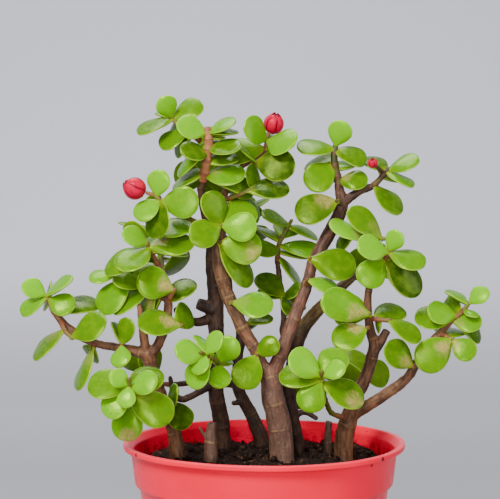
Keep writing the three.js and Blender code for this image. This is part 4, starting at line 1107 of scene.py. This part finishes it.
def pot_mesh():
    under_lip = POT_HEIGHT - LIP_HEIGHT
    step = under_lip - SHOULDER_HEIGHT
    step_out = SHOULDER_RADIUS - SHOULDER_DRAFT
    profile = rounded((
        (0, 0, 0),
        (BASE_RADIUS, 0, 1.4),
        (STEP_RADIUS, step - 1, 0.8),
        (step_out, step + 0.5, 0.9),
        (SHOULDER_RADIUS, under_lip, 0.35),
        (RIM_RADIUS, under_lip, 0.35),
        (RIM_RADIUS, POT_HEIGHT, 0.6),
        (RIM_RADIUS - 1.9, POT_HEIGHT, 0.7),
        (SHOULDER_RADIUS - WALL, under_lip - 0.5, 2.0),
        (step_out - WALL, step + 0.5, 0.8),
        (STEP_RADIUS - WALL, step - 1, 0.8),
        (BASE_RADIUS - WALL, FLOOR, 1.4),
        (0, FLOOR, 0),
    ))
    turns = np.arange(POT_COLUMNS) * 2 * math.pi / POT_COLUMNS
    ring = profile[1:-1]
    # thin walls are never quite round
    sway = 0.0016 * np.sin(2 * turns + 0.7) + 0.0009 * np.sin(5 * turns)
    radii = ring[:, :1] * (1 + sway[None] * np.clip(ring[:, 1:] / 60, 0, 1))
    heights = ring[:, 1:] + 0.12 * np.sin(3 * turns + 1)[None] * (ring[:, 1:] > 60)
    rings = np.stack((radii * np.cos(turns), radii * np.sin(turns), heights), -1)
    shell = mesh_from("pot_shell", *closed(rings, ((0, 0, 0), (0, 0, FLOOR))))
    right, up = circle(HOLE_SIDES)
    cutters, quads, ends = [], [], []
    for i in range(DRAIN_HOLES):
        angle = 2 * math.pi * i / DRAIN_HOLES
        middle = np.array((DRAIN_CIRCLE * math.cos(angle), DRAIN_CIRCLE * math.sin(angle), 0))
        rim = middle + DRAIN_RADIUS * np.stack((right, up, 0 * up), -1)
        below, above = np.array((0, 0, -CUT_BEYOND)), np.array((0, 0, FLOOR + CUT_BEYOND))
        rings = np.array((rim + below, rim + above))
        points, sides, caps = closed(rings, (middle + below, middle + above), i * (2 * HOLE_SIDES + 2))
        cutters.append(points)
        quads.append(sides)
        ends += caps
    cutter = added("cutter", mesh_from("cutter", np.concatenate(cutters), np.concatenate(quads), ends))
    shell = modified(shell, ("BOOLEAN", {"operation": "DIFFERENCE", "solver": "EXACT", "object": cutter}))
    bpy.data.objects.remove(cutter)
    shell.shade_smooth()
    return shell


# ---- Soil ----
SOIL_RINGS, SOIL_COLUMNS = 74, 200
SOIL_GAP = 0.12  # between the soil and the pot's wall
CRUMBS = 420


def soil_height(x, y):
    ripple = np.sin(x * 0.31 + 1) * np.cos(y * 0.27) + np.sin(x * 0.13 - y * 0.21)
    mounds = sum(h * np.exp(-((x - mx) ** 2 + (y - my) ** 2) / r**2) for mx, my, h, r in SOIL_MOUNDS)
    return SOIL_LEVEL + SOIL_RIPPLE * ripple + mounds


def crumbly(points):
    """How far the soil's crumbs stand up at points of its surface."""
    flat = points * (1, 1, 0)
    near = np.array([noise.voronoi(Vector(p))[0][0] for p in (flat / 2.1).tolist()])
    fine = np.array([noise.voronoi(Vector(p))[0][0] for p in (flat / 0.95 + 30).tolist()])
    return 0.9 * ripples(flat + 12, 5.0, 4) + 0.45 * (0.45 - near) + 0.35 * (0.4 - fine)


def soil_mesh():
    step = POT_HEIGHT - LIP_HEIGHT - SHOULDER_HEIGHT
    inside = WALL + SOIL_GAP
    edge = SHOULDER_RADIUS - SHOULDER_DRAFT - inside
    around = np.stack(circle(SOIL_COLUMNS), -1)
    sides = [(BASE_RADIUS - inside, FLOOR + GAP), (STEP_RADIUS - inside, step - 1), (edge, step + 0.5)]
    rings = [np.column_stack((around * r, np.full(SOIL_COLUMNS, float(z)))) for r, z in sides]
    for share in np.linspace(1, 0.012, SOIL_RINGS):
        flat = around * (edge + 0.1) * share
        ring = np.column_stack((flat, soil_height(flat[:, 0], flat[:, 1])))
        ring[:, 2] += crumbly(ring) - 0.3
        rings.append(ring)
    ends = ((0, 0, FLOOR + GAP), (0, 0, rings[-1][:, 2].mean()))
    points, quads, triangles = closed(np.array(rings), ends)
    corners, triangles, count = [points], [triangles], len(points)
    ball = bmesh.new()
    bmesh.ops.create_icosphere(ball, subdivisions=2, radius=1)
    round_points = np.array([v.co for v in ball.verts])
    round_faces = np.array([[v.index for v in f.verts] for f in ball.faces])
    ball.free()
    dice = np.random.default_rng(88)
    for _ in range(CRUMBS):
        far, turn = edge * math.sqrt(dice.uniform(0, 0.97)), dice.uniform(0, 2 * math.pi)
        x, y = far * math.cos(turn), far * math.sin(turn)
        size = dice.uniform(0.35, 0.85) ** 2 * 1.7
        lump = round_points * size * dice.uniform(0.6, 1.1, 3)
        lump = lump * (1 + 0.3 * ripples(lump + dice.uniform(0, 90, 3), size, 2))[:, None]
        corners.append(lump + (x, y, soil_height(x, y) + 0.35 * size))
        triangles.append(round_faces + count)
        count += len(lump)
    return mesh_from("soil_crumbs", np.concatenate(corners), quads, np.concatenate(triangles))


# ---- Materials ----
def light(*colour):
    """A colour as a shader wants it, from how it looks on a screen."""
    shares = [v / 255 for v in colour]
    return (*(((v + 0.055) / 1.055) ** 2.4 if v > 0.0404 else v / 12.92 for v in shares), 1.0)


class Finish:
    """A procedural material on one glossy shader."""

    def __init__(self, name, roughness, specular, tint=(1, 1, 1)):
        self.material = bpy.data.materials.new(name)
        self.material.use_nodes = True
        self.nodes, self.links = self.material.node_tree.nodes, self.material.node_tree.links
        self.shader = self.nodes["Principled BSDF"]
        self.shader.inputs["Roughness"].default_value = roughness
        self.shader.inputs["Specular IOR Level"].default_value = specular
        self.shader.inputs["Specular Tint"].default_value = (*tint, 1)

    def put(self, socket, value):
        if isinstance(value, bpy.types.NodeSocket):
            self.links.new(value, socket)
        else:
            socket.default_value = value

    def node(self, kind, settings=None, **inputs):
        made = self.nodes.new("ShaderNode" + kind)
        for key, value in (settings or {}).items():
            setattr(made, key, value)
        for key, value in inputs.items():
            self.put(made.inputs[key], value)
        return made

    def attribute(self, name):
        vector = self.node("Attribute", {"attribute_name": name}).outputs["Vector"]
        return self.node("SeparateXYZ", Vector=vector).outputs

    def math(self, kind, *values):
        made = self.nodes.new("ShaderNodeMath")
        made.operation = kind
        for socket, value in zip(made.inputs, values):
            self.put(socket, value)
        return made.outputs[0]

    def band(self, value, low, high, to_low=0.0, to_high=1.0):
        """A value carried smoothly from one range to another, and held at its ends."""
        made = self.nodes.new("ShaderNodeMapRange")
        made.interpolation_type = "SMOOTHSTEP"
        for socket, number in zip(made.inputs, (value, low, high, to_low, to_high)):
            self.put(socket, number)
        return made.outputs[0]

    def times(self, one, other):
        return self.math("MULTIPLY", one, other)

    def mix(self, share, one, other):
        """One colour carried towards another; three plain numbers are a colour as it looks on a screen."""
        made = self.nodes.new("ShaderNodeMix")
        made.data_type = "RGBA"
        for index, value in ((0, share), (6, one), (7, other)):
            self.put(made.inputs[index], light(*value) if isinstance(value, tuple) else value)
        return made.outputs[2]

    def ramp(self, value, low, high, one, other, most=1.0):
        """One colour carried into another, or most of the way, while a value goes from low to high."""
        return self.mix(self.band(value, low, high, 0.0, most), one, other)

    def place(self):
        """The point on the object in mm."""
        coordinates = self.nodes.new("ShaderNodeTexCoord").outputs["Object"]
        made = self.node("VectorMath", {"operation": "MULTIPLY"})
        self.put(made.inputs[0], coordinates)
        made.inputs[1].default_value = (1 / MM,) * 3
        return made.outputs[0]

    def noise(self, vector, size, detail=2.0, rough=0.5):
        made = self.node("TexNoise", Vector=vector, Scale=1.0 / size, Detail=detail, Roughness=rough)
        return made.outputs[0]

    def bump(self, height, depth, strength=1.0):
        """Relief of a depth in mm."""
        made = self.node("Bump", Height=height, Strength=strength, Distance=depth * MM)
        if self.shader.inputs["Normal"].is_linked:
            self.put(made.inputs["Normal"], self.shader.inputs["Normal"].links[0].from_socket)
        self.put(self.shader.inputs["Normal"], made.outputs[0])

    def colour(self, value):
        self.put(self.shader.inputs["Base Color"], value)

    def roughness(self, value):
        self.put(self.shader.inputs["Roughness"], value)

    def flesh(self, weight, scale, radius):
        self.shader.inputs["Subsurface Weight"].default_value = weight
        self.shader.inputs["Subsurface Scale"].default_value = scale * MM
        self.shader.inputs["Subsurface Radius"].default_value = radius


def leaf_material(name, gloss):
    m = Finish(name, 0.3, gloss, (0.65, 1.0, 0.1))
    a, across, top = m.attribute("blade")
    tone, blotch, chance = m.attribute("kind")
    where = m.place()
    # low tones: the green of old leaves, and painted shade for leaves that stand in shadow
    old = m.ramp(tone, 0.0, 0.4, (34, 60, 8), (68, 108, 2))
    young = m.ramp(tone, 0.6, 1.0, (82, 138, 0), (102, 166, 0))
    green = m.ramp(tone, 0.35, 0.7, old, young)
    green = m.ramp(m.noise(where, 2.6, 3.0), 0.35, 0.75, green, m.mix(0.5, green, (132, 160, 4)), 0.35)
    green = m.ramp(a, 0.3, -0.02, green, (134, 152, 16), 0.45)
    rim = m.math("MAXIMUM", m.band(m.math("ABSOLUTE", across), 0.9, 1.0), m.band(a, 0.965, 1.0))
    green = m.mix(m.times(rim, 0.5), green, (172, 204, 60))
    green = m.ramp(top, 0.1, -0.3, green, (94, 122, 14), 0.4)
    # corky patches that fade out, near the foot or, below nought, near the tip
    middle = m.band(blotch, -0.01, 0.01, 0.8, 0.26)
    along = m.math("DIVIDE", m.math("SUBTRACT", a, middle), 0.3)
    aside = m.math("DIVIDE", m.math("ADD", across, m.math("SUBTRACT", chance, 0.5)), 0.9)
    away = m.math("ADD", m.times(along, along), m.times(aside, aside))
    ragged = m.noise(where, 2.2, 5.0, 0.6)
    close = m.math("SUBTRACT", m.times(ragged, 1.8), away)
    patch = m.times(m.band(close, 0.0, 1.15), m.band(m.math("ABSOLUTE", blotch), 0.0, 0.9))
    cork = m.ramp(m.noise(where, 0.9, 4.0), 0.35, 0.65, (178, 150, 98), (158, 120, 78))
    green = m.mix(m.times(patch, 0.72), green, cork)
    # a few brown pores
    pores = m.node("TexVoronoi", Vector=where, Scale=0.34).outputs["Distance"]
    pore = m.times(m.band(pores, 0.14, 0.06), m.band(chance, 0.2, 0.7, 0.0, 0.5))
    m.colour(m.mix(pore, green, (92, 84, 24)))
    satin = m.band(m.noise(where, 3.0, 2.0), 0.3, 0.7, 0.16, 0.32)
    m.roughness(m.math("ADD", satin, m.times(patch, 0.3)))
    m.bump(m.noise(where, 1.4, 4.0, 0.6), 0.05)
    m.bump(ragged, 0.12, 0.4)
    m.flesh(0.22, 1.6, (0.6, 1.0, 0.15))
    return m.material


def bark_material(name, main, dark, young, scar, warmth):
    m = Finish(name, 0.66, 0.25)
    run, round_it, knot = m.attribute("bark")
    youth, cut, age = m.attribute("skin")
    where = m.place()
    grain = m.nodes.new("ShaderNodeCombineXYZ")
    m.put(grain.inputs[0], m.times(run, 0.22))
    m.put(grain.inputs[1], round_it)
    streaks = m.noise(grain.outputs[0], 1.1, 5.0, 0.6)
    patches = m.noise(where, 6.0, 4.0, 0.6)
    uneven = m.math("ADD", m.times(streaks, 0.6), m.times(patches, 0.5))
    colour = m.ramp(uneven, 0.42, 0.68, dark, main)
    colour = m.mix(m.times(youth, 0.75), colour, m.ramp(patches, 0.4, 0.65, young, main))
    # the branches above the fork are redder than the old wood under it
    height = m.node("SeparateXYZ", Vector=where).outputs[2]
    above = m.times(m.band(height, 102.0, 120.0, 0.0, warmth), m.band(patches, 0.34, 0.6, 0.3, 1.0))
    colour = m.mix(above, colour, m.ramp(streaks, 0.4, 0.66, (84, 48, 36), (132, 82, 54)))
    colour = m.ramp(age, 0.0, 1.0, colour, m.ramp(streaks, 0.4, 0.65, (34, 22, 17), (84, 54, 38)), 0.85)
    colour = m.ramp(age, 0.0, -1.0, colour, m.ramp(streaks, 0.4, 0.65, (66, 48, 22), (106, 84, 40)), 0.85)
    # specks, ring scars with a dark side, and sawn ends
    speck = m.noise(where, 0.8, 3.0, 0.7)
    colour = m.ramp(speck, 0.58, 0.74, colour, scar, 0.4)
    ring = m.times(m.band(knot, 0.55, 0.98), m.band(m.noise(where, 2.2, 2.0), 0.42, 0.6))
    colour = m.mix(m.times(ring, 0.5), colour, scar)
    rim = m.times(m.band(knot, 0.15, 0.5), m.band(knot, 0.9, 0.5))
    colour = m.mix(m.times(rim, 0.4), colour, dark)
    m.colour(m.mix(m.times(cut, 0.9), colour, m.ramp(speck, 0.4, 0.6, (26, 18, 15), (96, 76, 62))))
    m.roughness(m.band(streaks, 0.3, 0.7, 0.72, 0.5))
    m.bump(streaks, 0.25, 0.6)
    m.bump(speck, 0.2, 0.6)
    return m.material


def twig_material():
    m = Finish("young_twig", 0.55, 0.25)
    run, _, knot = m.attribute("bark")
    warmth = m.attribute("skin")[2]
    where = m.place()
    patches = m.noise(where, 3.5, 3.0, 0.6)
    colour = m.ramp(run, 3.0, 11.0, (112, 66, 40), (84, 96, 22))
    colour = m.ramp(patches, 0.45, 0.7, colour, (122, 84, 44), 0.6)
    tan = m.ramp(patches, 0.35, 0.65, (142, 84, 52), (166, 108, 70))
    olive = m.ramp(patches, 0.35, 0.65, (40, 30, 18), (66, 64, 24))
    colour = m.ramp(warmth, 0.0, 1.0, colour, tan, 0.9)
    colour = m.ramp(warmth, 0.0, -1.0, colour, olive, 0.8)
    m.colour(m.ramp(knot, 0.4, 0.95, colour, (92, 46, 32), 0.6))
    m.bump(m.noise(where, 0.6, 4.0, 0.6), 0.12, 0.7)
    m.flesh(0.1, 1.0, (0.8, 0.6, 0.3))
    return m.material


def bud_material():
    m = Finish("red_petals", 0.3, 0.36, (1.0, 0.12, 0.25))
    v, u, layer = m.attribute("petal")
    where = m.place()
    red = m.ramp(m.noise(where, 1.6, 3.0), 0.35, 0.7, (172, 0, 40), (192, 0, 54))
    # dark petal margins and crown tips: the petals' own darker colour, and painted shade in the gaps where
    # the petals lap
    edge = m.math("MAXIMUM", m.band(u, 0.74, 0.95), m.band(v, 0.86, 0.97))
    red = m.mix(m.times(edge, 0.85), red, (84, 0, 12))
    # painted shade: the bud darker towards its foot, and its core, seen only through the gaps and at the
    # crown, painted near black
    red = m.ramp(v, 0.25, 0.0, red, (96, 8, 14), 0.7)
    m.colour(m.ramp(layer, 0.4, 0.45, red, (60, 0, 8)))
    bands = {"wave_type": "BANDS", "bands_direction": "X"}
    veins = m.node("TexWave", bands, Vector=where, Scale=0.6, Distortion=3.0)
    m.bump(veins.outputs[0], 0.05, 0.5)
    m.bump(m.noise(where, 0.8, 3.0), 0.08, 0.6)
    m.flesh(0.15, 1.0, (1.0, 0.1, 0.1))
    return m.material


DIRT_SPECKS = (((-43.8, -24.1, 87.1), 0.7), ((39.8, -30.3, 86.8), 0.8), ((36.0, -30.6, 84.8), 0.5))
WALL_SLOPE = 0.115  # how fast the pot widens upwards
INSIDE = 36.7  # what is left of the inner wall's radius after its slope


def pot_material():
    m = Finish("red_plastic", 0.36, 0.3, (1.0, 0.05, 0.1))
    where = m.place()
    x, y, z = m.node("SeparateXYZ", Vector=where).outputs
    broad = m.noise(where, 26.0, 2.0)
    red = m.ramp(broad, 0.35, 0.7, (224, 0, 46), (234, 0, 54))
    # a painted highlight along the top of the lip, lighter and pinker than the body
    red = m.ramp(z, POT_HEIGHT - 0.5, POT_HEIGHT - 0.1, red, (246, 90, 100), 0.2)
    # soil stains on the inside, thicker towards the soil
    radius = m.math("SQRT", m.math("ADD", m.times(x, x), m.times(y, y)))
    straightened = m.math("SUBTRACT", radius, m.times(z, WALL_SLOPE))
    inside = m.times(m.band(straightened, INSIDE + 0.2, INSIDE - 0.2), m.band(z, 75.0, 77.0))
    stain = m.times(inside, m.band(z, 86.0, 79.5))
    stain = m.times(stain, m.band(m.noise(where, 3.4, 6.0, 0.68), 0.44, 0.62))
    red = m.mix(m.times(stain, 0.85), red, (46, 26, 20))
    spots = m.node("TexVoronoi", Vector=where, Scale=0.16).outputs["Distance"]
    crumb = m.times(m.band(spots, 0.07, 0.045), m.band(z, 74.0, 84.0, 0.0, 0.8))
    red = m.mix(crumb, red, (90, 44, 36))
    for middle, size in DIRT_SPECKS:
        away = m.node("VectorMath", {"operation": "DISTANCE"})
        m.put(away.inputs[0], where)
        away.inputs[1].default_value = middle
        wobble = m.math("ADD", away.outputs["Value"], m.times(m.noise(where, 0.7), 0.8))
        red = m.ramp(wobble, size + 0.55, size + 0.25, red, (70, 24, 20))
    m.colour(red)
    scuffs = m.band(m.noise(where, 5.0, 3.0), 0.35, 0.7, 0.3, 0.38)
    m.roughness(m.math("ADD", scuffs, m.times(stain, 0.4)))
    m.bump(broad, 0.25, 0.5)
    m.bump(m.noise(where, 0.5, 3.0), 0.02, 0.6)
    m.flesh(0.12, 1.5, (1.0, 0.15, 0.1))
    return m.material


def soil_material():
    m = Finish("potting_soil", 0.95, 0.08)
    where = m.place()
    grains = m.noise(where, 1.0, 6.0, 0.7)
    colour = m.ramp(grains, 0.4, 0.66, (21, 14, 11), (52, 35, 28))
    fibres = m.node("TexVoronoi", {"feature": "F1"}, Vector=where, Scale=0.9).outputs["Color"]
    chosen = m.node("SeparateXYZ", Vector=fibres).outputs[0]
    m.colour(m.ramp(chosen, 0.86, 0.95, colour, (74, 52, 38)))
    m.bump(grains, 0.6)
    m.bump(m.noise(where, 0.35, 4.0, 0.7), 0.25)
    return m.material


# ---- The pieces ----
leaf_finish, old_leaf_finish = leaf_material("jade_leaf", 0.34), leaf_material("old_jade_leaf", 0.14)
twig_finish, bud_finish = twig_material(), bud_material()
# a bark's main, dark, young and scar colours, and how much redder it is above the fork
BARKS = {
    "pale_bark": ((100, 72, 59), (72, 51, 41), (110, 78, 48), (150, 122, 70), 0.8),
    "brown_bark": ((118, 80, 50), (66, 42, 28), (140, 92, 52), (128, 98, 60), 0.3),
    # the stems that stand behind: a darker bark of their own, painted darker still for the shade they stand
    # in
    "dark_bark": ((64, 42, 29), (34, 22, 17), (84, 56, 34), (90, 66, 46), 0.0),
}
bark_finishes = {bark: bark_material(bark, *facts) for bark, facts in BARKS.items()}

show("pot_shell", pot_mesh(), pot_material(), "pot_plastic", "pot")
show("soil_crumbs", soil_mesh(), soil_material(), "soil", "soil")
for name, (bark, *limbs) in STEMS.items():
    show(name + "_wood", stem_mesh(name, limbs), bark_finishes[bark], bark, name)
for name, shoot in SHOOTS.items():
    own = [leaf for leaf in LEAVES if leaf.shoot == name]
    show("twig_" + name, twig_mesh(name, shoot), twig_finish, "brown_bark", name)
    finish = leaf_finish if shoot.tone > OLD_TONE else old_leaf_finish
    show("leaves_" + name, shoot_leaves(name, own), finish, "leaf", name)
for name, (at, diameter, reach) in BUDS.items():
    show(name + "_petals", bud_mesh(name, at, diameter, reach), bud_finish, "bud", name)


# ---- Floor, light and camera ----
BEND = 400  # the radius of the curve from the floor to the wall
FAR = 700  # where the floor starts to rise
HIGH = 2600  # the wall's top


def backdrop():
    """A pale floor that curves up into a wall behind."""
    bend = [(FAR + BEND * math.sin(t), BEND * (1 - math.cos(t))) for t in np.linspace(0, math.pi / 2, 24)]
    profile = [(-2600, 0), (-1200, 0), (0, 0), *bend, (FAR + BEND, HIGH)]
    corners = [(x * MM, y * MM, z * MM) for y, z in profile for x in (-3000, -1000, 1000, 3000)]
    cells = [i * 4 + j for i in range(len(profile) - 1) for j in range(3)]
    mesh = bpy.data.meshes.new("backdrop")
    mesh.from_pydata(corners, [], [(k, k + 1, k + 5, k + 4) for k in cells])
    mesh.shade_smooth()
    m = Finish("backdrop_paper", 0.9, 0.2)
    depth, height = m.node("SeparateXYZ", Vector=m.place()).outputs[1:]
    # painted shade and light: the floor darker towards the front and lighter towards the bend, the wall
    # lighter still, for how the lamps' light falls on the backdrop
    floor = m.ramp(depth, 360.0, 700.0, (143, 143, 148), (164, 164, 169))
    m.colour(m.ramp(height, 0.0, 100.0, floor, (192, 192, 201)))
    mesh.materials.append(m.material)
    added("backdrop", mesh)


def lamp(name, at, size, power, colour):
    """A round soft lamp that looks at the middle of the plant."""
    data = bpy.data.lights.new(name, "AREA")
    data.shape, data.size, data.energy, data.color = "DISK", size, power, colour
    made = added(name, data)
    made.location = at
    made.rotation_euler = (Vector((0, 0, 0.14)) - Vector(at)).to_track_quat("-Z", "Y").to_euler()


backdrop()
lamp("key", (-0.5, -0.9, 1.0), 0.5, 32, (1.0, 0.99, 0.97))
lamp("window", (-0.1, -1.15, 0.3), 0.45, 10, (1.0, 1.0, 1.0))
lamp("fill", (1.1, -0.5, 0.6), 0.9, 8.5, (0.95, 0.97, 1.0))
lamp("top", (-0.15, 0.35, 1.2), 0.8, 13, (1.0, 1.0, 1.0))

world = bpy.data.worlds.new("soft_room")
world.use_nodes = True
room = world.node_tree.nodes["Background"].inputs
room["Color"].default_value = light(225, 228, 236)
room["Strength"].default_value = 0.35
bpy.context.scene.world = world

PITCH = math.radians(2.5)
lens = bpy.data.cameras.new("camera")
lens.lens, lens.sensor_width, lens.clip_start = 108.0, 36.0, 0.01
camera = added("camera", lens)
camera.location = Vector(EYE) * MM
camera.rotation_euler = Euler((math.pi / 2 - PITCH, 0, 0))
bpy.context.scene.camera = camera
